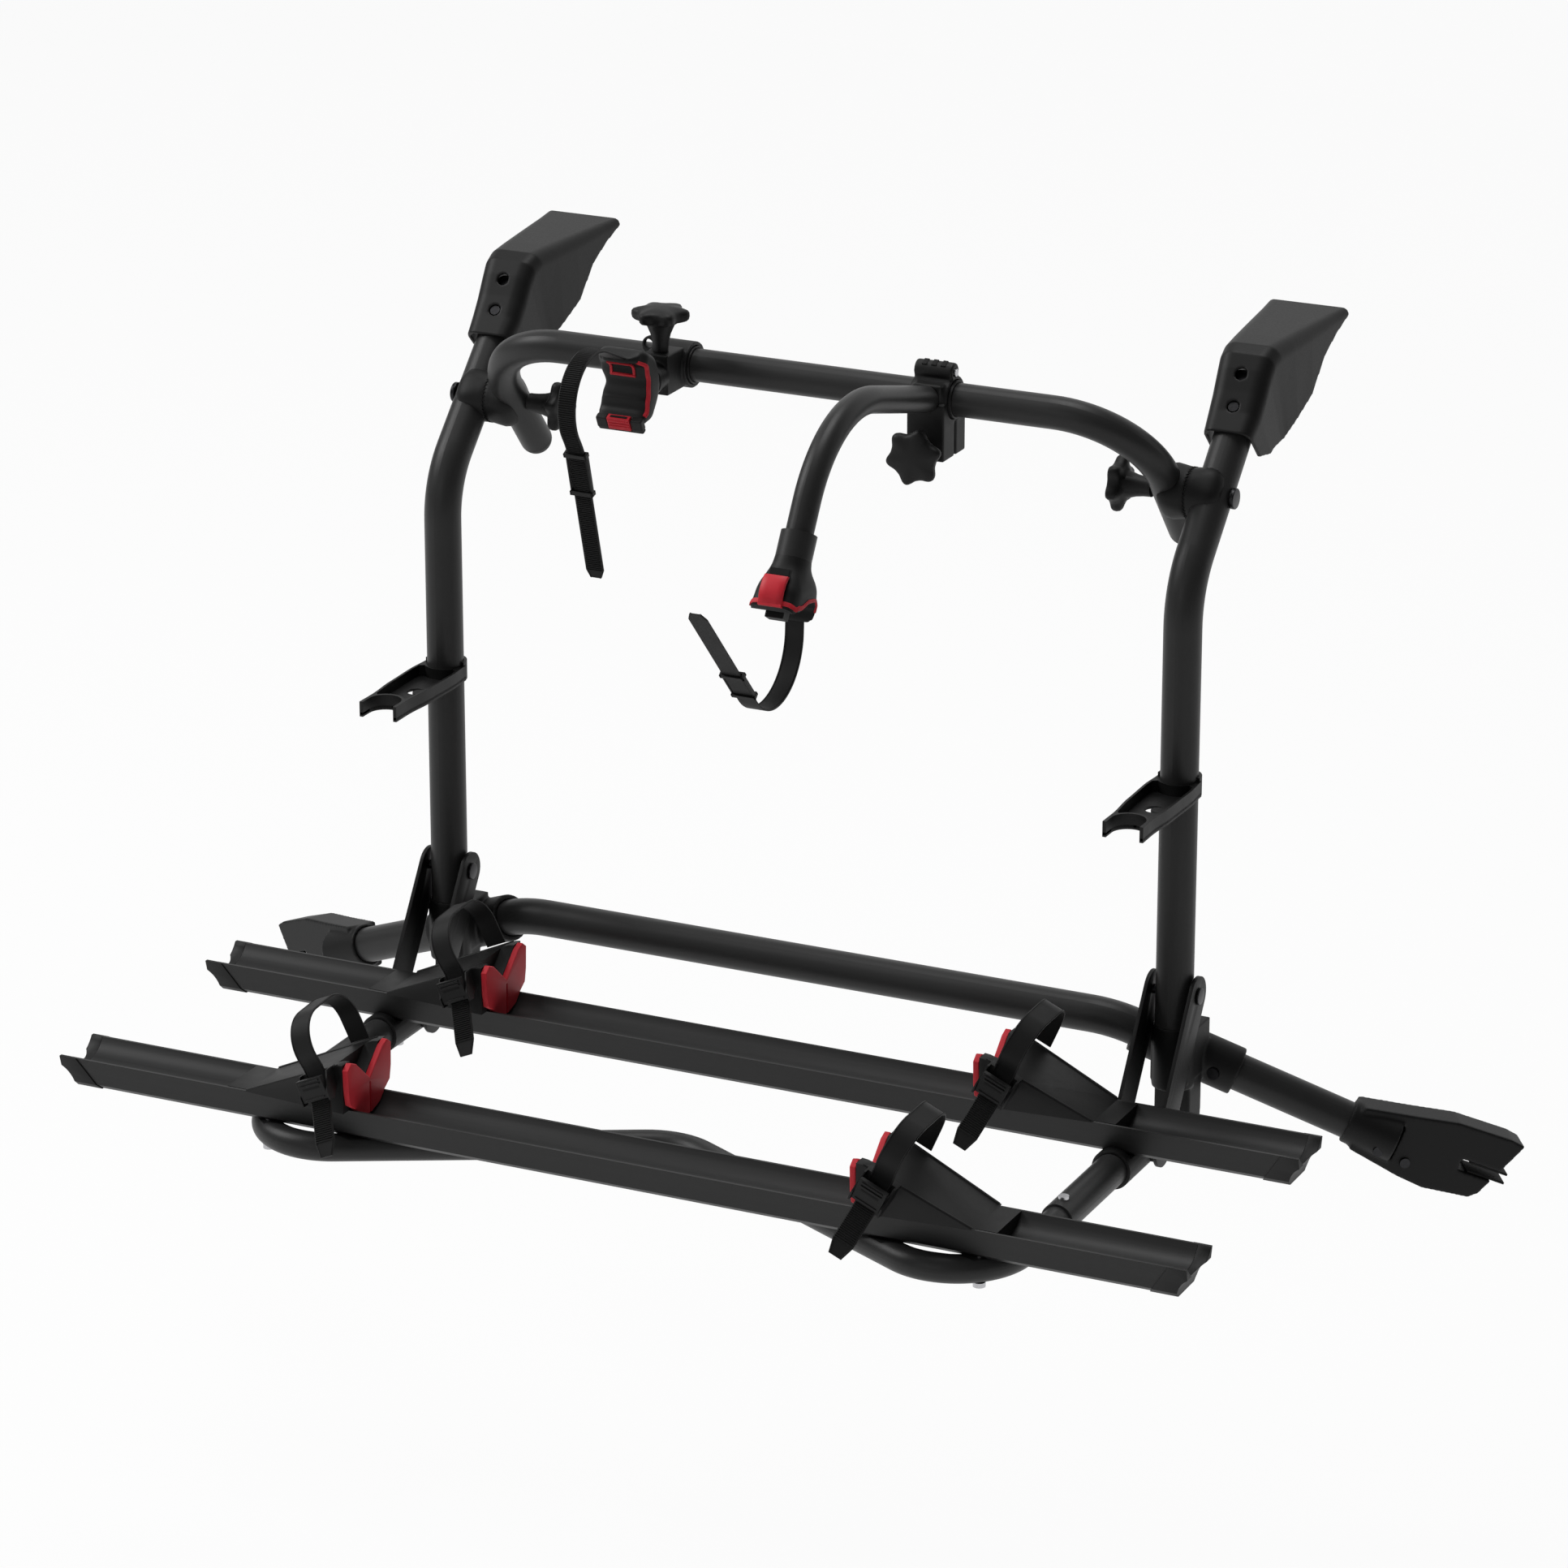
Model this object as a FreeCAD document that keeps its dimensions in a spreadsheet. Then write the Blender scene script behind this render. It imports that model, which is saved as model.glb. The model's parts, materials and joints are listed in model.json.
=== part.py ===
# Rear door bike carrier for a panel van, for two bikes.
# The origin is midway between the two top hooks, on the edge of the door that they hang on.
# X runs across the van, +Y points into the van, +Z points up. Sizes are in millimetres.

import FreeCAD, Part
import math
import os
import re
import Sketcher

V = FreeCAD.Vector
doc = FreeCAD.newDocument("bike_carrier")

# Driving dimensions

sheet = doc.addObject("Spreadsheet::Sheet", "sizes")
DIMENSIONS = {
    # uprights: two tubes that lean over the top of the door, where the hooks' plate wraps them
    "hook_wall": 4,
    "upright_x": 429, "upright_y": -305, "upright_across": 40, "upright_wall": 2,
    "bend_below": 255, "upright_straight": 474, "upright_foot": "=-(bend_below + upright_straight)",
    "upright_bend": 101.6, "upright_angle": 45, "upright_lean": 206,
    # top bar: the tilting bow that carries the frame holders
    "bow_across": 35, "bow_z": -44.4, "bow_bend": 97.4, "clamp_span": 49.2,
    "bow_half": "=upright_x - clamp_span - bow_bend",
    "bow_leg": 94, "bow_drop": 49.7, "bow_clamp_from_bend": 22.16,
    # lower bar: the cross tube with swept ends
    "lower_across": 40, "lower_y": -276.9, "lower_above_foot": 21.8,
    "lower_z": "=upright_foot + lower_above_foot", "lower_inset": 105, "lower_half": "=upright_x - lower_inset",
    "lower_bend": 105.2, "lower_sweep": 27.24, "lower_fall": 54.9, "lower_arm": 300,
    # platform: fold pivot, arms, front loop
    "pivot_above_foot": 74, "pivot_z": "=upright_foot + pivot_above_foot",
    "strut_drop": 137, "strut_gap": 46, "strut_plate": 4, "strut_wide": 42,
    "arm_z": "=pivot_z - strut_drop", "arm_across": 35, "arm_back": -371, "arm_front": -612,
    "outer_rail_y": -732.4, "inner_rail_y": -430,
    "loop_across": 30, "loop_back": -540, "loop_beyond": 84.7, "loop_notch": 218.4,
    "loop_corner_y": "=outer_rail_y - loop_beyond", "loop_apex_y": "=loop_corner_y + loop_notch",
    "loop_corner": 74.5, "loop_apex": 74,
    # tube rests on the uprights
    "rest_above_pivot": 217, "rest_z": "=pivot_z + rest_above_pivot",
    # rails
    "rail_long": 1280, "rail_x": -8.9,
    "rail_deep": 34.5, "rail_seat": 11.8, "rail_top": "=arm_z + rail_seat + rail_deep",
    "lip_half": 33.35, "side_half": 28.7,
    "base_half": 24, "channel_deep": 17,
    # wheel chocks, measured from the rail's middle
    "chock_face": 284, "chock_foot": 414, "chock_tip": 437.5, "chock_high": 55,
    "chock_splay": 12, "strap_wide": 24,
    # frame holders on the top bar
    "short_x": -144, "long_x": 152, "holder_ring": 24.5, "bush_across": 40,
    "cradle": 38, "cradle_wall": 16, "cradle_wide": 54, "holder_strap": 20,
    "pin": 10, "buckle_pin": 2.5, "play": 0.05,
}
for row, (alias, value) in enumerate(DIMENSIONS.items(), 1):
    sheet.set(f"A{row}", alias)
    sheet.set(f"B{row}", str(value))
    sheet.setAlias(f"B{row}", alias)
doc.recompute()


# Helpers

def linked(text):
    """The expression with each of the sheet's names written so that any object can read it."""
    return re.sub(r"[a-z][a-z_]*[a-z]", lambda m: "sizes." + m[0] if m[0] in DIMENSIONS else m[0], str(text))


def size(text):
    """The value of an expression of the sheet's names."""
    value = sheet.evalExpression(str(text))
    return float(getattr(value, "Value", value))


def bind(thing, **values):
    """Tie each property of an object to an expression."""
    for name, text in values.items():
        thing.setExpression(name, linked(text))
    return thing


def place(thing, at, rotation=FreeCAD.Rotation()):
    """Put an object at a point of three expressions, turned by a rotation."""
    thing.Placement = FreeCAD.Placement(V(*[size(value) for value in at]), rotation)
    for axis, text in zip("xyz", at):
        thing.setExpression(f"Placement.Base.{axis}", linked(text))
    return thing


def axes(along, up):
    """The rotation whose X axis is `along` and whose Y axis is nearest `up`."""
    return FreeCAD.Rotation(along, up, along.cross(up), "XYZ")


def block(name, x, y, z):
    """A box between pairs of expressions."""
    thing = doc.addObject("Part::Box", name)
    bind(thing, Length=f"({x[1]}) - ({x[0]})", Width=f"({y[1]}) - ({y[0]})", Height=f"({z[1]}) - ({z[0]})")
    return place(thing, (x[0], y[0], z[0]))


def rod(name, across, length, at, direction=V(0, 0, 1)):
    """A cylinder that starts at a point and runs along a direction."""
    thing = doc.addObject("Part::Cylinder", name)
    bind(thing, Radius=f"({across}) / 2", Height=length)
    return place(thing, at, FreeCAD.Rotation(V(0, 0, 1), direction))


def cut(name, base, tool):
    thing = doc.addObject("Part::Cut", name)
    thing.Base = base
    thing.Tool = tool
    return thing


def join(name, pieces):
    thing = doc.addObject("Part::MultiFuse", name)
    thing.Shapes = pieces
    thing.Refine = True
    return thing


def common(name, first, second):
    thing = doc.addObject("Part::MultiCommon", name)
    thing.Shapes = [first, second]
    return thing


def group(name, pieces):
    thing = doc.addObject("Part::Compound", name)
    thing.Links = pieces
    return thing


def sketch_on(body, role, name):
    """A new sketch on one of the body's own planes."""
    sketch = body.newObject("Sketcher::SketchObject", name)
    plane = [item for item in body.Origin.OriginFeatures if item.Role == role][0]
    sketch.AttachmentSupport = [(plane, "")]
    sketch.MapMode = "FlatFace"
    return sketch


def hold(sketch, kind, *args):
    """Add a constraint whose last argument is an expression."""
    *places, text = args
    index = sketch.addConstraint(Sketcher.Constraint(kind, *places, size(text)))
    sketch.setExpression(f"Constraints[{index}]", linked(text))


def draw(sketch, corners):
    """A closed outline of corners (x, y) or (x, y, radius of the arc to the next corner)."""
    points = [V(size(corner[0]), size(corner[1]), 0) for corner in corners]
    first = sketch.GeometryCount
    for i, corner in enumerate(corners):
        start = points[i]
        end = points[(i + 1) % len(points)]
        if len(corner) == 2:
            sketch.addGeometry(Part.LineSegment(start, end))
            continue
        radius = size(corner[2])
        half = (end - start) * 0.5
        side = V(-half.y, half.x, 0).normalize()
        rise = abs(radius) - math.sqrt(radius ** 2 - half.Length ** 2)
        middle = start + half - side * math.copysign(rise, radius)
        sketch.addGeometry(Part.Arc(start, middle, end))
    bends = [size(corner[2]) if len(corner) == 3 else 0 for corner in corners]
    for i, corner in enumerate(corners):
        here = first + i
        after = (i + 1) % len(corners)
        # an arc that turns right has its ends the other way round
        start, end = (2, 1) if bends[i] < 0 else (1, 2)
        next_start = 2 if bends[after] < 0 else 1
        sketch.addConstraint(Sketcher.Constraint("Coincident", here, end, first + after, next_start))
        hold(sketch, "DistanceX", -1, 1, here, start, corner[0])
        hold(sketch, "DistanceY", -1, 1, here, start, corner[1])
        if bends[i]:
            hold(sketch, "Radius", here, f"abs({corner[2]})")
    return sketch


def slab(name, role, corners, thick, at=(0, 0, 0), rotation=FreeCAD.Rotation(), holes=()):
    """A body that is an outline padded evenly to both sides of its plane."""
    body = doc.addObject("PartDesign::Body", name)
    sketch = draw(sketch_on(body, role, name + "_outline"), corners)
    for hole in holes:
        draw(sketch, hole)
    pad = body.newObject("PartDesign::Pad", name + "_pad")
    pad.Profile = sketch
    pad.SideType = "Symmetric"
    pad.setExpression("Length", linked(thick))
    return place(body, at, rotation)


def bent(name, section, moves, at, rotation):
    """A body swept along lines ("go", length) and bends ("turn", radius, degrees), from its own +X."""
    body = doc.addObject("PartDesign::Body", name)
    path = sketch_on(body, "XY_Plane", name + "_path")
    point = V(0, 0, 0)
    heading = "0"
    for i, move in enumerate(moves):
        angle = math.radians(size(heading))
        ahead = V(math.cos(angle), math.sin(angle), 0)
        if move[0] == "go":
            end = point + ahead * size(move[1])
            path.addGeometry(Part.LineSegment(point, end))
            if i == 0:
                path.addConstraint(Sketcher.Constraint("Coincident", 0, 1, -1, 1))
            hold(path, "Distance", i, move[1])
            path.addConstraint(Sketcher.Constraint("Angle", i, angle))
            path.setExpression(f"Constraints[{path.ConstraintCount - 1}]", linked(f"({heading}) * 1deg"))
        else:
            turn = math.radians(size(move[2]))
            side = V(-ahead.y, ahead.x, 0) * math.copysign(size(move[1]), turn)
            centre = point + side
            spin = FreeCAD.Rotation(V(0, 0, 1), math.degrees(turn))
            half = FreeCAD.Rotation(V(0, 0, 1), math.degrees(turn / 2))
            end = centre + spin.multVec(-side)
            path.addGeometry(Part.Arc(point, centre + half.multVec(-side), end))
            hold(path, "Radius", i, move[1])
            heading = f"{heading} + ({move[2]})"
        point = end
    for i in range(1, len(moves)):
        last = moves[i - 1]
        leaving = 1 if last[0] == "turn" and size(last[2]) < 0 else 2
        joining = 2 if moves[i][0] == "turn" and size(moves[i][2]) < 0 else 1
        path.addConstraint(Sketcher.Constraint("Tangent", i - 1, leaving, i, joining))
    profile = sketch_on(body, "YZ_Plane", name + "_section")
    section(profile)
    pipe = body.newObject("PartDesign::AdditivePipe", name + "_pipe")
    pipe.Profile = profile
    pipe.Spine = (path, [f"Edge{i}" for i in range(1, len(moves) + 1)])
    return place(body, at, rotation)


def disc(*diameters):
    """A section of circles round the path."""
    def add(sketch):
        for i, across in enumerate(diameters):
            sketch.addGeometry(Part.Circle(V(0, 0, 0), V(0, 0, 1), size(across) / 2))
            sketch.addConstraint(Sketcher.Constraint("Coincident", i, 3, -1, 1))
            hold(sketch, "Diameter", i, across)
    return add


def band(wide, thick):
    """A flat strap's section: thick across the bend, wide along its axis."""
    def add(sketch):
        x, y = f"({thick}) / 2", f"({wide}) / 2"
        draw(sketch, [(f"-{x}", f"-{y}"), (x, f"-{y}"), (x, y), (f"-{x}", y)])
    return add


def star(name, across, thick, at, direction, stem=None):
    """A six-lobed hand knob, with its flat back at a point and a stem behind it if one is given."""
    pieces = [rod(name + "_hub", f"{across} * 0.74", thick, at, direction)]
    start = V(*[size(value) for value in at])
    turn = FreeCAD.Rotation(V(0, 0, 1), direction)
    for i in range(6):
        angle = math.radians(60 * i + 15)
        lobe = start + turn.multVec(V(math.cos(angle), math.sin(angle), 0) * across * 0.36)
        pieces.append(rod(f"{name}_lobe_{i}", f"{across} * 0.28", thick, (lobe.x, lobe.y, lobe.z), direction))
    if stem:
        pieces.append(rod(name + "_stem", stem[0], stem[1], at, direction * -1))
    return join(name + "_blank", pieces)


NODES = {}


def node(name, thing):
    """Give a finished piece its node name."""
    thing.Label = name
    NODES[name] = thing
    return thing


SIDES = {"right": 1, "left": -1}
ALONG_X, ALONG_Y, ALONG_Z = V(1, 0, 0), V(0, 1, 0), V(0, 0, 1)
LEAN = math.radians(size("upright_angle"))
LEANING = V(0, math.sin(LEAN), math.cos(LEAN))
DROP = math.radians(size("bow_drop"))
LEG = V(0, math.cos(DROP), -math.sin(DROP))
SWEEP = math.radians(size("lower_sweep"))
FALL = math.radians(size("lower_fall"))
FALLING = V(0, math.cos(FALL), -math.sin(FALL))

# The tilt axis of the top bar: through both legs and both uprights
tilt_y = "upright_y + (bow_bend + bow_clamp_from_bend) * cos(bow_drop * 1deg)"
tilt_z = "bow_z - (bow_bend + bow_clamp_from_bend) * sin(bow_drop * 1deg)"
leg_x = "bow_half + bow_bend"

# Uprights

for side, s in SIDES.items():
    # each is drawn from its foot: straight up, one bend, then the leaning end under the top hook
    tube = bent(f"upright_{side}_tube", disc("upright_across", "upright_across - 2 * upright_wall"),
                [("go", "upright_straight"), ("turn", "upright_bend", "-upright_angle"), ("go", "upright_lean")],
                (f"{s} * upright_x", "upright_y", "upright_foot"), axes(ALONG_Z, V(0, -1, 0)))
    holes = [rod(f"upright_{side}_clamp_hole", "pin", 60, (f"{s} * upright_x - 30", tilt_y, tilt_z), ALONG_X),
             rod(f"upright_{side}_pivot_hole", "pin", 60,
                 (f"{s} * upright_x - 30", "upright_y", "pivot_z"), ALONG_X)]
    for i, reach in enumerate((160, 195)):
        holes.append(rod(f"upright_{side}_screw_hole_{i}", 6, 20,
                         (f"{s} * upright_x",
                          f"upright_y + upright_bend * (1 - cos(45deg)) + {reach} * cos(45deg) - 30 * cos(45deg)",
                          f"upright_foot + upright_straight + (upright_bend + {reach} + 30) * cos(45deg)"),
                         V(0, 1, -1)))
    node(f"upright_{side}", cut(f"upright_{side}_drilled", tube, join(f"upright_{side}_holes", holes)))

# Top bar: a bow whose legs drop to the tilt clamps

bow_start = (f"-({leg_x})",
             "upright_y + (bow_bend + bow_leg) * cos(bow_drop * 1deg)",
             "bow_z - (bow_bend + bow_leg) * sin(bow_drop * 1deg)")
bow = bent("bow_tube", disc("bow_across", "bow_across - 4"),
           [("go", "bow_leg"), ("turn", "bow_bend", -90), ("go", "2 * bow_half"),
            ("turn", "bow_bend", -90), ("go", "bow_leg")],
           bow_start, axes(LEG * -1, V(-1, 0, 0)))
bow_holes = [rod(f"bow_hole_{side}", "pin + 2 * play", 50, (f"{s} * ({leg_x}) - 25", tilt_y, tilt_z), ALONG_X)
             for side, s in SIDES.items()]
node("top_bar", cut("bow_drilled", bow, join("bow_holes", bow_holes)))

plugs = []
for side, s in SIDES.items():
    # a domed plug closes each leg's end
    end = (f"{s} * ({leg_x})", bow_start[1], bow_start[2])
    dome = doc.addObject("Part::Sphere", f"plug_{side}_dome")
    bind(dome, Radius="bow_across / 2")
    place(dome, end)
    flat = rod(f"plug_{side}_space", "bow_across + 10", 30, end, LEG)
    stem_start = [f"{value} - 15 * ({part})" for value, part in zip(end, LEG)]
    stem = rod(f"plug_{side}_stem", "bow_across - 4", 15, stem_start, LEG)
    plugs.append(join(f"plug_{side}", [common(f"plug_{side}_cap", dome, flat), stem]))
node("top_bar_plugs", group("plugs", plugs))

# Tilt clamps: a half on each upright and a half on each leg of the bow, pressed together by a knob

outer_halves, inner_halves, clamp_bolts = [], [], []
for side, s in SIDES.items():
    direction = V(s, 0, 0)
    split = "(upright_x - 23.7)"
    # the outer half hugs the upright
    hex_outline = [(-19, -27), (12, -27), (19, -14), (19, 14), (12, 27), (-19, 27)]
    grip = slab(f"outer_{side}_block", "XY_Plane", [(f"{s} * ({x})", y) for x, y in hex_outline], 52,
                (f"{s} * ({split} + 19)", tilt_y, tilt_z), axes(ALONG_X, LEANING))
    hub = rod(f"outer_{side}_hub", 54, 6, (f"{s} * {split}", tilt_y, tilt_z), direction)
    bore = rod(f"outer_{side}_bore", "upright_across", 160,
               (f"{s} * upright_x", f"{tilt_y} - 80 * cos(45deg)", f"{tilt_z} - 80 * cos(45deg)"), LEANING)
    hole = rod(f"outer_{side}_hole", "pin", 60, (f"{s} * ({split} - 5.3)", tilt_y, tilt_z), direction)
    outer_halves.append(cut(f"outer_half_{side}", join(f"outer_{side}_solid", [grip, hub]),
                            join(f"outer_{side}_room", [bore, hole])))
    # the inner half hugs the leg, with a small gap between the two toothed faces
    grip = slab(f"inner_{side}_block", "XY_Plane",
                [(f"{s} * ({x})", y) for x, y in [(16.4, -26), (16.4, 26), (-10, 26), (-16.4, 14),
                                                 (-16.4, -14), (-10, -26)]], 50,
                (f"{s} * ({split} - 16.6)", tilt_y, tilt_z), axes(ALONG_X, LEG))
    hub = rod(f"inner_{side}_hub", 54, 6, (f"{s} * ({split} - 0.2)", tilt_y, tilt_z), direction * -1)
    bore = rod(f"inner_{side}_bore", "bow_across", 160,
               (f"{s} * ({leg_x})", f"{tilt_y} - 80 * {LEG.y}", f"{tilt_z} - 80 * {LEG.z}"), LEG)
    hole = rod(f"inner_{side}_hole", "pin + 2 * play", 60, (f"{s} * ({split} - 45.3)", tilt_y, tilt_z), direction)
    inner_halves.append(cut(f"inner_half_{side}", join(f"inner_{side}_solid", [grip, hub]),
                            join(f"inner_{side}_room", [bore, hole])))
    # the bolt's round head stands on the outside of the upright
    shank = rod(f"clamp_bolt_{side}_shank", "pin", 124, (f"{s} * (upright_x + 24)", tilt_y, tilt_z), direction * -1)
    head = rod(f"clamp_bolt_{side}_head", 22, 5, (f"{s} * (upright_x + 20.1)", tilt_y, tilt_z), direction)
    clamp_bolts.append(join(f"clamp_bolt_{side}", [shank, head]))
    # the star knob turns on the bolt, inside the bow
    knob = star(f"clamp_knob_{side}", 57, 22, (f"{s} * ({leg_x} - 39.8)", tilt_y, tilt_z), direction * -1, (20, 21.5))
    hole = rod(f"clamp_knob_{side}_hole", "pin + 2 * play", 34, (f"{s} * ({leg_x} - 51.8)", tilt_y, tilt_z), direction)
    node(f"clamp_knob_{side}", cut(f"clamp_knob_{side}_bored", knob, hole))
node("clamp_outer_halves", group("outer_halves", outer_halves))
node("clamp_inner_halves", group("inner_halves", inner_halves))
node("clamp_bolts", group("clamp_bolt_pair", clamp_bolts))

# Top hooks: pressed plates that wrap the uprights' ends and reach over the door

# each section from the collar to the lip: y and z of its crest, its angle below level, its depth,
# half its width and the radius of its shoulders
HOOK_SECTIONS = [(-200.5, -74.2, 45, 46, 27, 14), (-183.2, -56.9, 52, 68, 29, 15), (-170, -39, 60, 77, 29.5, 16),
                 (-157, -18.7, 65, 94, 30, 16), (-146, -5, 69, 104, 31, 16), (-131, 1.2, 74, 103, 32.5, 16),
                 (-100, 2.2, 80, 91, 35.5, 15), (-60, 3, 84, 73, 39, 14), (-25, 3.4, 87, 37, 41.5, 12),
                 (5, 3.7, 90, 20, 43.5, 10), (33, 4, 90, 8, 45.5, 7)]
CRESTS = [V(0, y, z) for y, z, *_ in HOOK_SECTIONS]


def hook_loft(name, centre, wall, beyond):
    """The hook's solid, or with a wall the room in it, which runs on `beyond` its lower edge."""
    sections = []
    for i, (y, z, fall, depth, half, shoulder) in enumerate(HOOK_SECTIONS):
        inward = V(0, math.cos(math.radians(fall)), -math.sin(math.radians(fall)))
        skin = CRESTS[min(i + 1, len(CRESTS) - 1)] - CRESTS[max(i - 1, 0)]
        slant = abs(V(0, skin.z, -skin.y).normalize().dot(inward))
        top = f"({wall}) / {slant}"
        wide = f"{half} - {wall}"
        level = f"-({top} + {shoulder} - {wall})"
        sketch = draw(doc.addObject("Sketcher::SketchObject", f"{name}_{i}"),
                      [(wide, f"-({depth + beyond})"), (wide, level, f"{shoulder} - {wall}"),
                       (f"{half - shoulder}", f"-({top})"), (f"-{half - shoulder}", f"-({top})", f"{shoulder} - {wall}"),
                       (f"-({wide})", level), (f"-({wide})", f"-({depth + beyond})")])
        back = wall if i == len(HOOK_SECTIONS) - 1 else 0
        sections.append(place(sketch, (centre, f"{y} - {back}", z), axes(ALONG_X, inward * -1)))
    thing = doc.addObject("Part::Loft", name)
    thing.Sections = sections
    thing.Solid = True
    thing.Ruled = True
    return thing


hook_screws = []
for side, s in SIDES.items():
    centre = f"{s} * upright_x"
    outside = hook_loft(f"hook_{side}_outside", centre, "0", 0)
    room = hook_loft(f"hook_{side}_room", centre, "hook_wall", 25)
    screw_holes = []
    for i, (reach, rise) in enumerate(((160, 24), (195, 32))):
        # screws stand square on the leaning tube, sunk below the plate
        foot_y = f"upright_y + upright_bend * (1 - cos(45deg)) + {reach} * cos(45deg)"
        foot_z = f"upright_foot + upright_straight + (upright_bend + {reach}) * cos(45deg)"
        top = (centre, f"{foot_y} - {rise + 12} * cos(45deg)", f"{foot_z} + {rise + 12} * cos(45deg)")
        screw_holes.append(rod(f"hook_{side}_hole_{i}", 13, 20, top, V(0, 1, -1)))
        head_at = (centre, f"{foot_y} - 23.5 * cos(45deg)", f"{foot_z} + 23.5 * cos(45deg)")
        hook_screws.append(join(f"hook_screw_{side}_{i}", [
            rod(f"hook_screw_{side}_{i}_head", 11, 3.4, head_at, V(0, 1, -1)),
            rod(f"hook_screw_{side}_{i}_shank", 6, 12, head_at, V(0, 1, -1))]))
    # the door's edge bears on a flat seat under the brim
    seat = block(f"hook_{side}_seat", (f"{centre} - 26", f"{centre} + 26"), ("-70", "20"), ("-10", "0"))
    hollow = join(f"hook_{side}_hollow", [room, seat] + screw_holes)
    node(f"top_hook_{side}", cut(f"hook_{side}", outside, hollow))

# Lower bar with its brackets and hooks

lower_end = V(math.cos(SWEEP), math.sin(SWEEP) * FALLING.y, math.sin(SWEEP) * FALLING.z)
bar_drop = "(lower_bend * (1 - cos(lower_sweep * 1deg)) + {0} * sin(lower_sweep * 1deg))"


def bar_point(s, reach):
    """A point on the swept end of the lower bar, as expressions."""
    down = bar_drop.format(reach)
    return (f"{s} * (lower_half + lower_bend * sin(lower_sweep * 1deg) + {reach} * cos(lower_sweep * 1deg))",
            f"lower_y + {down} * {FALLING.y}", f"lower_z + {down} * {FALLING.z}")


first = V(math.cos(SWEEP), -math.sin(SWEEP) * FALLING.y, -math.sin(SWEEP) * FALLING.z)
lower_tube = bent("lower_tube", disc("lower_across", "lower_across - 5"),
                  [("go", "lower_arm"), ("turn", "lower_bend", "-lower_sweep"), ("go", "2 * lower_half"),
                   ("turn", "lower_bend", "-lower_sweep"), ("go", "lower_arm")],
                  bar_point(-1, "lower_arm"),
                  axes(first, V(-math.sin(SWEEP), -math.cos(SWEEP) * FALLING.y, -math.cos(SWEEP) * FALLING.z)))
node("lower_bar", lower_tube)

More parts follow.
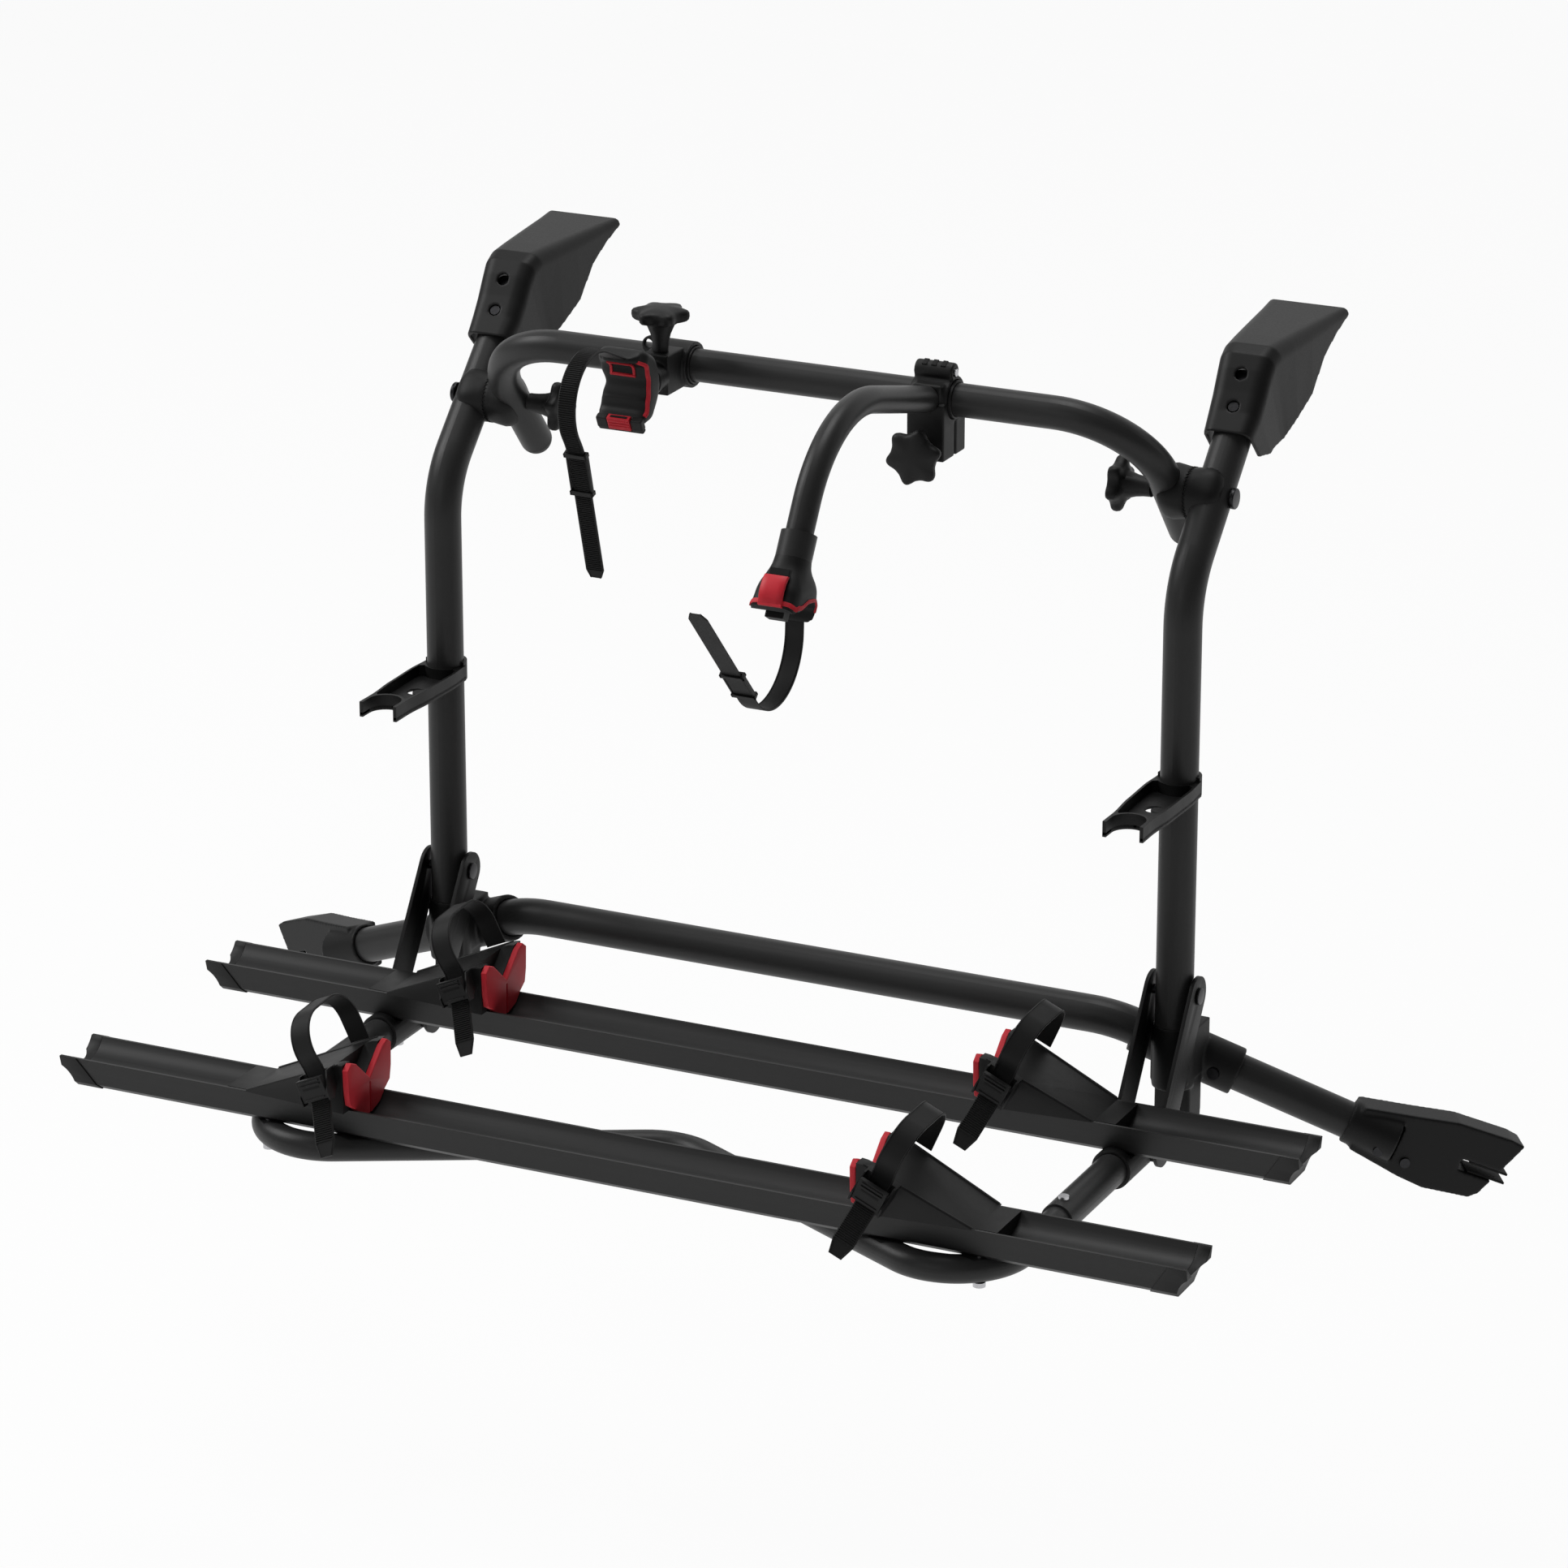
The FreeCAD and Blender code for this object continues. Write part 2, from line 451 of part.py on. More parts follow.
bracket_screws, rivets, jaws = [], [], []
for side, s in SIDES.items():
    outward = V(s * lower_end.x, lower_end.y, lower_end.z)
    # the casting: a sleeve round the bar, a socket round the upright's foot and a leg below
    sleeve = rod(f"bracket_{side}_sleeve", 52, 117, bar_point(s, 0), outward)
    socket = rod(f"bracket_{side}_socket", 44.8, 70,
                 (f"{s} * upright_x", "upright_y", "upright_foot - 30"))
    leg = block(f"bracket_{side}_leg", (f"{s} * upright_x - 20", f"{s} * upright_x + 20"),
                ("upright_y - 2", "upright_y + 32"), ("upright_foot - 67", "upright_foot + 29"))
    toe = rod(f"bracket_{side}_toe", 34, 40, (f"{s} * upright_x - 20", "upright_y + 15", "upright_foot - 67"), ALONG_X)
    web = block(f"bracket_{side}_web", (f"{s} * upright_x - 21", f"{s} * upright_x + 21"),
                ("upright_y - 12", "upright_y + 50"), ("upright_foot - 23", "upright_foot + 32"))
    solid = join(f"bracket_{side}_solid", [sleeve, socket, leg, toe, web])
    upright_room = rod(f"bracket_{side}_upright_room", "upright_across", 100,
                       (f"{s} * upright_x", "upright_y", "upright_foot"))
    bar_room = rod(f"bracket_{side}_bar_room", "lower_across", 200, bar_point(s, -40), outward)
    top = block(f"bracket_{side}_top", (f"{s} * upright_x - 90", f"{s} * upright_x + 90"),
                ("upright_y - 60", "upright_y + 20"), ("upright_foot + 43", "upright_foot + 129"))
    straight_room = rod(f"bracket_{side}_straight_room", "lower_across", 60,
                        (f"{s} * (lower_half - 20)", "lower_y", "lower_z"), V(s, 0, 0))
    drill = rod(f"bracket_{side}_drill", 6, 60,
                [f"{value} + ({step})" for value, step in zip(bar_point(s, 100), (0, -60, 0))], ALONG_Y)
    screw_at = [f"{value} + ({step})" for value, step in zip(bar_point(s, 100), (0, -28.5, 0))]
    sink = rod(f"bracket_{side}_sink", 13, 10,
               [f"{value} + ({step})" for value, step in zip(bar_point(s, 100), (0, -35.5, 0))], ALONG_Y)
    node(f"lower_bracket_{side}", cut(f"bracket_{side}", solid, join(f"bracket_{side}_room", [
        upright_room, bar_room, top, straight_room, drill, sink])))
    bracket_screws.append(join(f"bracket_screw_{side}", [
        rod(f"bracket_screw_{side}_head", 13, 3, screw_at, ALONG_Y),
        rod(f"bracket_screw_{side}_shank", 6, 6, screw_at, ALONG_Y)]))

    # the lower hook: a collar on the bar's end, then a forked claw with a slot for the door's edge
    reach = V(s * 0.84, 0.54, -0.03)
    claw_axes = axes(reach, V(0, 0, 1))
    mouth = bar_point(s, 250)
    collar = rod(f"lower_hook_{side}_collar", 48, 56, bar_point(s, 244), outward)
    claw = slab(f"lower_hook_{side}_claw", "XY_Plane",
                [(-6, -24), (47, -56), (75, -70), (125, -82), (136, -78), (184, -26), (170, -18),
                 (112, 3), (63, 12), (8, 23)], 36, mouth, claw_axes)
    slot = slab(f"lower_hook_{side}_slot", "XY_Plane",
                [(112, -50), (170, -72), (174, -60), (116, -38)], 40, mouth, claw_axes)
    room = slab(f"lower_hook_{side}_room", "XY_Plane",
                [(60, -52), (100, -66), (112, -50), (116, -38), (100, -24), (60, -30)], 24, mouth, claw_axes)
    bore = rod(f"lower_hook_{side}_bore", "lower_across", 62, bar_point(s, 240), outward)
    hollow = [slot, room, bore]
    for i, (x, y, off) in enumerate(((22, -22, 27.4), (54, -40, 18))):
        # two rivets hold the claw from the front, the first one sunk in the collar
        front = claw_axes.multVec(V(x, y, off * s))
        rivet = rod(f"rivet_{side}_{i}", 11, 2.5, [f"{value} + ({step})" for value, step in zip(mouth, front)],
                    claw_axes.multVec(V(0, 0, s)))
        rivets.append(rivet)
        hollow.append(rivet)
    node(f"lower_hook_{side}", cut(f"lower_hook_{side}_cut", join(f"lower_hook_{side}_solid", [collar, claw]),
                                   join(f"lower_hook_{side}_hollow", hollow)))
    # two liners line the slot
    for i, (x, y) in enumerate(((143.5, -60.5), (146.5, -50.95))):
        spot = claw_axes.multVec(V(x, y, 0))
        jaws.append(slab(f"jaw_{side}_{i}", "XY_Plane", [(-22, -1.2), (22, -1.2), (22, 1.2), (-22, 1.2)], 30,
                         [f"{value} + ({step})" for value, step in zip(mouth, spot)],
                         axes(claw_axes.multVec(V(0.934, -0.357, 0)), V(0, 0, 1))))
node("lower_jaws", group("jaw_liners", jaws))
node("frame_screws", group("frame_screw_set", hook_screws + bracket_screws + rivets))

# Tube rests: clips on the uprights that hold the folded platform's arms

rests, pivot_bolts = [], []
for side, s in SIDES.items():
    centre = f"{s} * upright_x"
    arm_y = "upright_y + arm_z - pivot_z"
    collar = rod(f"rest_{side}_collar", 47, 40, (centre, "upright_y", "rest_z"))
    tray = block(f"rest_{side}_tray", (f"{centre} - 15", f"{centre} + 15"),
                 (f"{arm_y} + 16", "upright_y - 10"), ("rest_z + 6", "rest_z + 20"))
    tray_room = block(f"rest_{side}_tray_room", (f"{centre} - 11", f"{centre} + 11"),
                      (f"{arm_y} + 28", "upright_y - 30"), ("rest_z + 11", "rest_z + 28"))
    ring = rod(f"rest_{side}_ring", 45, 29, (centre, arm_y, "rest_z + 6"))
    front = block(f"rest_{side}_front", (f"{centre} - 30", f"{centre} + 30"),
                  (f"{arm_y} - 30", arm_y), ("rest_z - 2", "rest_z + 38"))
    prongs = block(f"rest_{side}_prongs", (f"{centre} - 22.5", f"{centre} + 22.5"),
                   (f"{arm_y} - 15", arm_y), ("rest_z + 6", "rest_z + 35"))
    gap = block(f"rest_{side}_gap", (f"{centre} - 17.9", f"{centre} + 17.9"),
                (f"{arm_y} - 40", arm_y), ("rest_z - 2", "rest_z + 38"))
    tube_room = rod(f"rest_{side}_tube_room", "arm_across + 0.8", 60, (centre, arm_y, "rest_z - 12"))
    upright_room = rod(f"rest_{side}_upright_room", "upright_across", 80, (centre, "upright_y", "rest_z - 22"))
    solid = join(f"rest_{side}_solid", [collar, tray, cut(f"rest_{side}_half", ring, front), prongs])
    rests.append(cut(f"rest_{side}", solid, join(f"rest_{side}_room",
                                                 [gap, tube_room, upright_room, tray_room])))
    half_gap = "strut_gap / 2 + strut_plate"
    at = (f"{centre} - ({half_gap}) - 3", "upright_y", "pivot_z")
    pivot_bolts.append(join(f"pivot_bolt_{side}", [
        rod(f"pivot_bolt_{side}_shank", "pin", "strut_gap + 2 * strut_plate + 6", at, ALONG_X),
        rod(f"pivot_bolt_{side}_inner", 18, 2.8, at, ALONG_X),
        rod(f"pivot_bolt_{side}_outer", 18, 2.8, (f"{centre} + {half_gap} + 0.2", at[1], at[2]), ALONG_X)]))
node("tube_rests", group("rests", rests))
node("pivot_bolts", group("pivot_bolt_pair", pivot_bolts))

# Platform: forked struts on the pivots, arms, front loop

RAIL_ROWS = {"outer": "outer_rail_y", "inner": "inner_rail_y"}
rail_base = "rail_top - rail_deep"


def pressed(name, solid, depth):
    """The solid with flats pressed into it under both rails, `depth` below the rails."""
    flats = [block(f"{name}_flat_{row}", ("-(upright_x + 91)", "upright_x + 91"), (f"{y} - 31", f"{y} + 31"),
                   (f"{rail_base} - {depth}", f"{rail_base} + 30")) for row, y in RAIL_ROWS.items()]
    return cut(f"{name}_pressed", solid, join(f"{name}_flats", flats))


arms, platform_screws = [], []
strut_run = V(0, -88, size("arm_z - pivot_z"))
for side, s in SIDES.items():
    centre = f"{s} * upright_x"
    foot = ("upright_y - 88", "arm_z")
    pieces = []
    for i, offset in enumerate(("-(strut_gap + strut_plate) / 2", "(strut_gap + strut_plate) / 2")):
        x = f"{centre} + {offset}"
        pieces.append(slab(f"strut_{side}_plate_{i}", "XY_Plane",
                           [(0, "-strut_wide / 2"), (strut_run.Length, "-strut_wide / 2"),
                            (strut_run.Length, "strut_wide / 2"), (0, "strut_wide / 2")], "strut_plate",
                           (x, "upright_y", "pivot_z"), axes(strut_run / strut_run.Length, V(0, 1, 0))))
        start = f"{x} - strut_plate / 2"
        pieces.append(rod(f"strut_{side}_top_{i}", "strut_wide", "strut_plate",
                          (start, "upright_y", "pivot_z"), ALONG_X))
        pieces.append(rod(f"strut_{side}_end_{i}", "strut_wide", "strut_plate", (start, *foot), ALONG_X))
    pieces.append(rod(f"strut_{side}_socket", 43, "arm_back + 470.7", (centre, "arm_back", "arm_z"),
                      V(0, -1, 0)))
    pieces.append(block(f"strut_{side}_lug", (f"{centre} - strut_gap / 2 - 1", f"{centre} + strut_gap / 2 + 1"),
                        (f"{foot[0]} - 18", f"{foot[0]} + 18"), ("arm_z - 10", "arm_z + 10")))
    room = [rod(f"strut_{side}_bore", "arm_across", 160, (centre, "arm_back + 30", "arm_z"), V(0, -1, 0)),
            rod(f"strut_{side}_hole", "pin + 2 * play", 80, (f"{centre} - 40", "upright_y", "pivot_z"), ALONG_X),
            rod(f"strut_{side}_bolt_room", 6, 60, (centre, "inner_rail_y", "arm_z - 50"))]
    strut = pressed(f"strut_{side}", join(f"strut_{side}_solid", pieces), 0)
    node(f"strut_{side}", cut(f"strut_{side}_bored", strut, join(f"strut_{side}_room", room)))

    outer = pressed(f"arm_{side}_outer", rod(f"arm_{side}_outside", "arm_across", "arm_back - arm_front",
                                             (centre, "arm_back", "arm_z"), V(0, -1, 0)), 2)
    inner = pressed(f"arm_{side}_inner", rod(f"arm_{side}_inside", "loop_across + 0.2", "arm_back - arm_front + 2",
                                             (centre, "arm_back + 1", "arm_z"), V(0, -1, 0)), 4.4)
    holes = [rod(f"arm_{side}_screw_hole", 6, 30, (centre, -595, "arm_z")),
             rod(f"arm_{side}_bolt_hole", 6, 60, (centre, "inner_rail_y", "arm_z - 50"))]
    arms.append(cut(f"arm_{side}", outer, join(f"arm_{side}_room", [inner] + holes)))
    # one screw holds the loop in the arm, one bolt the inner rail on it, one the outer rail on the loop
    top = "arm_z + arm_across / 2"
    platform_screws.append(join(f"arm_screw_{side}", [
        rod(f"arm_screw_{side}_head", 11, 3, (centre, -595, f"{top} + 0.05")),
        rod(f"arm_screw_{side}_shank", 6, 9, (centre, -595, f"{top} - 7"))]))
    under = "arm_z - arm_across / 2 - 4"
    platform_screws.append(join(f"inner_bolt_{side}", [
        rod(f"inner_bolt_{side}_head", 13, 4, (centre, "inner_rail_y", f"{under} - 4.2")),
        rod(f"inner_bolt_{side}_shank", 6, 42, (centre, "inner_rail_y", f"{under} - 4"))]))
    corner = (f"{s} * (upright_x - 24)", "outer_rail_y - 18.6")
    platform_screws.append(join(f"outer_bolt_{side}", [
        rod(f"outer_bolt_{side}_head", 13, 5, (*corner, "arm_z - loop_across / 2 - 5")),
        rod(f"outer_bolt_{side}_shank", 6, 34, (*corner, "arm_z - loop_across / 2 - 2"))]))
node("platform_arms", group("arm_pair", arms))
node("platform_screws", group("platform_screw_set", platform_screws))

skew = "atan((loop_apex_y - loop_corner_y) / upright_x)"
corner_cut = f"loop_corner * tan((90deg + {skew}) / 2)"
apex_cut = f"loop_apex * tan({skew})"
loop_moves = [("go", f"loop_back - loop_corner_y - {corner_cut}"),
              ("turn", "loop_corner", f"-(90 + {skew} / 1deg)"),
              ("go", f"upright_x / cos({skew}) - {corner_cut} - {apex_cut}"),
              ("turn", "loop_apex", f"2 * {skew} / 1deg"),
              ("go", f"upright_x / cos({skew}) - {corner_cut} - {apex_cut}"),
              ("turn", "loop_corner", f"-(90 + {skew} / 1deg)"),
              ("go", f"loop_back - loop_corner_y - {corner_cut}")]
loop_at = ("upright_x", "loop_back", "arm_z")
loop_axes = axes(V(0, -1, 0), ALONG_X)
loop_outside = pressed("loop_outer", bent("loop_outside", disc("loop_across"), loop_moves, loop_at, loop_axes), 0)
loop_inside = pressed("loop_inner", bent("loop_inside", disc("loop_across - 4"), loop_moves, loop_at, loop_axes), 2)
loop_holes = []
for side, s in SIDES.items():
    loop_holes.append(rod(f"loop_bolt_hole_{side}", 6, 60, (f"{s} * (upright_x - 24)", "outer_rail_y - 18.6", "arm_z - 38")))
    loop_holes.append(rod(f"loop_screw_hole_{side}", 6, 30, (f"{s} * upright_x", -595, "arm_z")))
node("front_loop", cut("loop", loop_outside, join("loop_room", [loop_inside] + loop_holes)))

# Rails: extruded channels over a hollow chamber, each end in a plastic cap

lip = "lip_half - 2.85"
channel_arc = f"(({lip}) ^ 2 + channel_deep ^ 2) / (2 * channel_deep)"
floor = f"({channel_arc}) + 2"
rail_outline = [("-lip_half", 0), ("-side_half", "-channel_deep"), ("-(base_half + 1.5)", "-(rail_deep - 5)"),
                ("-(base_half - 4)", "-rail_deep"), ("base_half - 4", "-rail_deep"),
                ("base_half + 1.5", "-(rail_deep - 5)"), ("side_half", "-channel_deep"), ("lip_half", 0),
                (lip, 0, f"-({channel_arc})"), (f"-({lip})", 0)]
chamber_half = "side_half - 2.7"
chamber_top = f"{channel_arc} - channel_deep - sqrt(({floor}) ^ 2 - ({chamber_half}) ^ 2)"
chamber = [(f"-({chamber_half})", chamber_top, floor), (chamber_half, chamber_top),
           ("base_half - 2.5", "-(rail_deep - 2)"), ("-(base_half - 2.5)", "-(rail_deep - 2)")]
caps = []
for row, y in RAIL_ROWS.items():
    at = ("rail_x", y, "rail_top")
    bar = slab(f"rail_{row}_bar", "YZ_Plane", rail_outline, "rail_long - 28", at, holes=[chamber])
    drills = []
    for side, s in SIDES.items():
        x = f"{s} * upright_x" if row == "inner" else f"{s} * (upright_x - 24)"
        drills.append(rod(f"rail_{row}_drill_{side}", 6, 20,
                          (x, y if row == "inner" else f"{y} - 18.6", f"{rail_base} - 10")))
    node(f"rail_{row}", cut(f"rail_{row}_drilled", bar, join(f"rail_{row}_drills", drills)))
    for side, s in SIDES.items():
        # a cap is a skin round the end and a solid nose, rounded underneath
        end = f"rail_x + {s} * rail_long / 2"
        big = [("-lip_half - 1.2", 0), ("-side_half - 1.2", "-channel_deep"),
               ("-(base_half + 2.7)", "-(rail_deep - 4.6)"), ("-(base_half - 3.6)", "-(rail_deep + 1.2)"),
               ("base_half - 3.6", "-(rail_deep + 1.2)"), ("base_half + 2.7", "-(rail_deep - 4.6)"),
               ("side_half + 1.2", "-channel_deep"), ("lip_half + 1.2", 0),
               (lip, 0, f"-({channel_arc})"), (f"-({lip})", 0)]
        skin = slab(f"cap_{row}_{side}_skin", "YZ_Plane", big, 46, (f"{end} - {s} * 23", y, "rail_top"))
        core = slab(f"cap_{row}_{side}_core", "YZ_Plane", rail_outline, 60,
                    (f"{end} - {s} * 44", y, "rail_top"))
        swept = slab(f"cap_{row}_{side}_swept", "XZ_Plane",
                     [(f"{s} * (-50)", 6), (f"{s} * (-20)", 6), (f"{s} * (-20)", 0), (f"{s} * (-45)", -38),
                      (f"{s} * (-50)", -38)], 90, (end, y, "rail_top"))
        nose = slab(f"cap_{row}_{side}_nose", "XZ_Plane",
                    [(f"{s} * 6", -12), (0, -12, f"{s} * 28"), (f"{s} * (-13)", -36), (f"{s} * (-13)", -40),
                     (f"{s} * 6", -40)], 90, (end, y, "rail_top"))
        caps.append(cut(f"cap_{row}_{side}", skin, join(f"cap_{row}_{side}_room", [core, swept, nose])))
node("rail_caps", group("cap_set", caps))

# Wheel chocks: wedges that slide in the rails, a forked soft face on each, a strap over the wheel

SLOPE = math.atan2(size("chock_high"), size("chock_foot - chock_face - 7"))
STRAP_REACH = 320
for row, y in RAIL_ROWS.items():
    for side, s in SIDES.items():
        name = f"{row}_{side}"
        at = ("rail_x", y, "rail_top")
        wedge = slab(f"chock_{name}_wedge", "XZ_Plane",
                     [(f"{s} * (chock_face + 7)", 0.3), (f"{s} * chock_foot", 0.3),
                      (f"{s} * (chock_face + 13)", "chock_high - 2"), (f"{s} * (chock_face + 7)", "chock_high - 1")],
                     100, at)
        plan = slab(f"chock_{name}_plan", "XY_Plane",
                    [(f"{s} * chock_face", -46), (f"{s} * chock_tip", "-46 + chock_splay"),
                     (f"{s} * chock_tip", "46 - chock_splay"), (f"{s} * chock_face", 46)], 130, at)
        runner = rod(f"chock_{name}_runner", f"2 * ({channel_arc}) - 0.6", "chock_tip - chock_face - 7",
                     (f"rail_x + {s} * (chock_face + 7)", y, f"rail_top - channel_deep + {channel_arc}"),
                     V(s, 0, 0))
        below = block(f"chock_{name}_below", ("rail_x - 500", "rail_x + 500"), (f"{y} - 29.9", f"{y} + 29.9"),
                      ("rail_top - 20", "rail_top + 0.3"))
        notch = slab(f"chock_{name}_notch", "YZ_Plane", [(0, 26), (28, 50), (40, 70), (-40, 70), (-28, 50)], 26,
                     (f"rail_x + {s} * (chock_face + 8)", y, "rail_top"))
        rise = V(s * math.sin(SLOPE), 0, math.cos(SLOPE))
        foot_z = (size("chock_foot") - STRAP_REACH) * math.tan(SLOPE)
        strap_foot = (f"rail_x + {s} * {STRAP_REACH}", y, f"rail_top + {foot_z}")
        # a lug on the wall carries the strap, and two cheeks beside it carry the buckle's pin
        slope = V(rise.z, 0, -rise.x)
        lug = [slab(f"chock_{name}_lug", "XY_Plane", [(-49.8, -10), (-38, -10), (-38, 2), (-48.3, 2)],
                    36.8, strap_foot, axes(ALONG_Y, rise))]
        for i, reach in enumerate((-17.4, 17.4)):
            cheek_at = (f"{strap_foot[0]} + {reach * slope.x}", y, f"{strap_foot[2]} + {reach * slope.z}")
            lug.append(slab(f"chock_{name}_cheek_{i}", "XY_Plane",
                            [(-68, -27), (-60, -27), (-38, -10), (-38, 2), (-55, 2), (-68, -17)], 2, cheek_at,
                            axes(ALONG_Y, rise)))
        pin_at = (f"{strap_foot[0]} - {22 * rise.x + 18 * slope.x}", f"{y} - 64",
                  f"{strap_foot[2]} - {22 * rise.z + 18 * slope.z}")
        lug.append(rod(f"chock_{name}_pin", "buckle_pin", 36, pin_at, slope))
        body = join(f"chock_{name}_solid", [common(f"chock_{name}_upper", wedge, plan),
                                            common(f"chock_{name}_lower", runner, below)] + lug)
        node(f"chock_{name}", cut(f"chock_{name}_body", body, notch))
        face = slab(f"chock_face_{name}_plate", "YZ_Plane",
                    [(0, -14), (20, -8.5), (28, -1), (31, 2), (42, 9), (45, 24), (46, 49), (38, 55), (28, 51), (0, 26),
                     (-28, 51), (-38, 55), (-46, 49), (-45, 24), (-42, 9), (-31, 2), (-28, -1), (-20, -8.5)], 6.8,
                    (f"rail_x + {s} * (chock_face + 3.4)", y, "rail_top"))
        groove = block(f"chock_face_{name}_groove",
                       (f"rail_x + {s} * chock_face - 2", f"rail_x + {s} * chock_face + 2"),
                       (f"{y} - 1", f"{y} + 1"), ("rail_top - 20", "rail_top + 21"))
        node(f"chock_face_{name}", cut(f"chock_face_{name}_grooved", face, groove))
        # the strap stands square on the slope: tail, buckle, then an arch over to the far side
        tail = (f"rail_x + {s} * {STRAP_REACH} - {79 * rise.x}", f"{y} - 88", f"rail_top + {foot_z - 79 * rise.z}")
        tail_angle = math.radians(61.6)
        heading = ALONG_Y * math.cos(tail_angle) + rise * math.sin(tail_angle)
        left = ALONG_Y * -math.sin(tail_angle) + rise * math.cos(tail_angle)
        strap = bent(f"wheel_strap_{name}_band", band("strap_wide", 2.6),
                     [("go", 70), ("turn", 40, 42), ("go", 7), ("turn", 20, -101), ("go", 59),
                      ("turn", 20, -90), ("go", 24)], tail, axes(heading, left))
        node(f"wheel_strap_{name}", strap)
        # the buckle's lever lies on the strap's outer side
        lever_at = (f"{strap_foot[0]} - {12 * rise.x}", f"{y} - 64", f"{strap_foot[2]} - {12 * rise.z}")
        lever = slab(f"wheel_buckle_{name}_lever", "XY_Plane", [(-16, -12), (16, -12), (16, 12), (-16, 12)], 6,
                     lever_at, axes(slope, rise))
        lever_hole = rod(f"wheel_buckle_{name}_hole", "buckle_pin + 2 * play", 40, pin_at, slope)
        node(f"wheel_buckle_{name}", cut(f"wheel_buckle_{name}_bored", lever, lever_hole))

# Frame holders: each has a bush and a clamp on the top bar, a knob, and a head that swivels


def holder_head(name, centre, back, up, hub_at, hub):
    """A cradle that opens away from `back`, its strap slot on the `up` side, on a round hub."""
    turn = FreeCAD.Rotation(ALONG_X, back, ALONG_X.cross(back), "XYZ")
    flip = 1 if turn.multVec(V(0, 0, 1)).dot(up) > 0 else -1
    ring_start = [f"{value} - ({step})" for value, step in zip(centre, (size("cradle_wide") / 2 - 2, 0, 0))]
    outside = rod(f"{name}_outside", "2 * (cradle + cradle_wall)", "cradle_wide - 4", ring_start, ALONG_X)
    room = rod(f"{name}_cradle", "2 * cradle", "cradle_wide + 10",
               [f"{value} - ({step})" for value, step in zip(centre, (size("cradle_wide") / 2 + 5, 0, 0))], ALONG_X)
    mouth = slab(f"{name}_mouth", "YZ_Plane",
                 [(0, 0), (44, f"{flip} * -96"), (-90, f"{flip} * -96"), (-90, f"{flip} * 90"),
                  (-3, f"{flip} * 90")], "cradle_wide + 20", centre, turn)
    boss = rod(f"{name}_hub", *hub, hub_at, back * -1)
    solid = join(f"{name}_solid", [outside, boss])
    return cut(f"{name}_shell", solid, join(f"{name}_room", [room, mouth])), turn, flip


def head_trim(name, centre, turn, flip):
    """The soft edging: an arc along each side of the cradle."""
    edges = []
    for side, s in SIDES.items():
        start = [f"{value} + ({step})" for value, step in
                 zip(centre, (size("cradle_wide") / 2 * s - (2 if s > 0 else 0), 0, 0))]
        ring = rod(f"{name}_{side}_ring", "2 * cradle + 9", 2, start, ALONG_X)
        hole = rod(f"{name}_{side}_hole", "2 * cradle", 4,
                   [f"{value} - ({step})" for value, step in zip(start, (1, 0, 0))], ALONG_X)
        mouth = slab(f"{name}_{side}_mouth", "YZ_Plane",
                     [(0, 0), (44, f"{flip} * -96"), (-90, f"{flip} * -96"), (-90, f"{flip} * 90"),
                      (-3, f"{flip} * 90")], 10, start, turn)
        edges.append(cut(f"{name}_{side}", cut(f"{name}_{side}_band", ring, hole), mouth))
    return group(f"{name}_pair", edges)


def clamp_ring(name, x, half, tools, extras):
    """A ring on the bush, with what is joined to it and what is cut from it."""
    ring = rod(f"{name}_ring", "2 * holder_ring", f"2 * {half}", (f"{x} - {half}", "upright_y", "bow_z"), ALONG_X)
    bore = rod(f"{name}_bore", "bush_across + 2 * play", f"2 * {half} + 40",
               (f"{x} - {half} - 20", "upright_y", "bow_z"), ALONG_X)
    return cut(name, join(f"{name}_solid", [ring] + extras), join(f"{name}_room", [bore] + tools))


def bush(name, x, half):
    outside = rod(f"{name}_outside", "bush_across", f"2 * {half}", (f"{x} - {half}", "upright_y", "bow_z"), ALONG_X)
    inside = rod(f"{name}_inside", "bow_across + 2 * play", f"2 * {half} + 4",
                 (f"{x} - {half} - 2", "upright_y", "bow_z"), ALONG_X)
    return node(name, cut(f"{name}_tube", outside, inside))


bush("short_bush", "short_x", 21)
lug = block("short_clamp_lug", ("short_x - 15", "short_x + 15"), ("upright_y - 56", "upright_y - 18"),
            ("bow_z - 20", "bow_z + 23"))
boss = rod("short_clamp_boss", 32, 14, ("short_x", "upright_y - 54", "bow_z"), V(0, -1, 0))
eyelet = rod("short_clamp_eyelet", 20, 6, ("short_x - 17", "upright_y - 33", "bow_z + 25"), ALONG_Y)
eyelet_hole = rod("short_clamp_eyelet_hole", 9, 20, ("short_x - 19", "upright_y - 40", "bow_z + 27"), ALONG_Y)
stud_hole = rod("short_clamp_stud_hole", "8 + 2 * play", 70, ("short_x", "upright_y - 42", "bow_z - 34"))
node("short_clamp", clamp_ring("short_clamp", "short_x", 19, [stud_hole, eyelet_hole], [lug, boss, eyelet]))
grip = star("short_knob", 60, 22, ("short_x", "upright_y - 42", "bow_z + 50"), ALONG_Z, (16, 26.6))
stud = rod("short_knob_stud", 8, 40, ("short_x", "upright_y - 42", "bow_z - 15"))
node("short_knob", join("short_knob_whole", [grip, stud]))
short_centre = ("short_x", "upright_y - 148.6", "bow_z + 8")
shell, turn, flip = holder_head("short_head", short_centre, ALONG_Y, ALONG_Z,
                                ("short_x", "upright_y - 68.3", "bow_z"), (34, 36))
SHORT_HEADING = math.radians(24)
slot_at = ("short_x", "upright_y - 104", "bow_z + 24.8")
slot = bent("short_head_slot", band("holder_strap", 3), [("go", 70)], slot_at,
            axes(V(0, -math.cos(SHORT_HEADING), math.sin(SHORT_HEADING)),
                 V(0, math.sin(SHORT_HEADING), math.cos(SHORT_HEADING))))
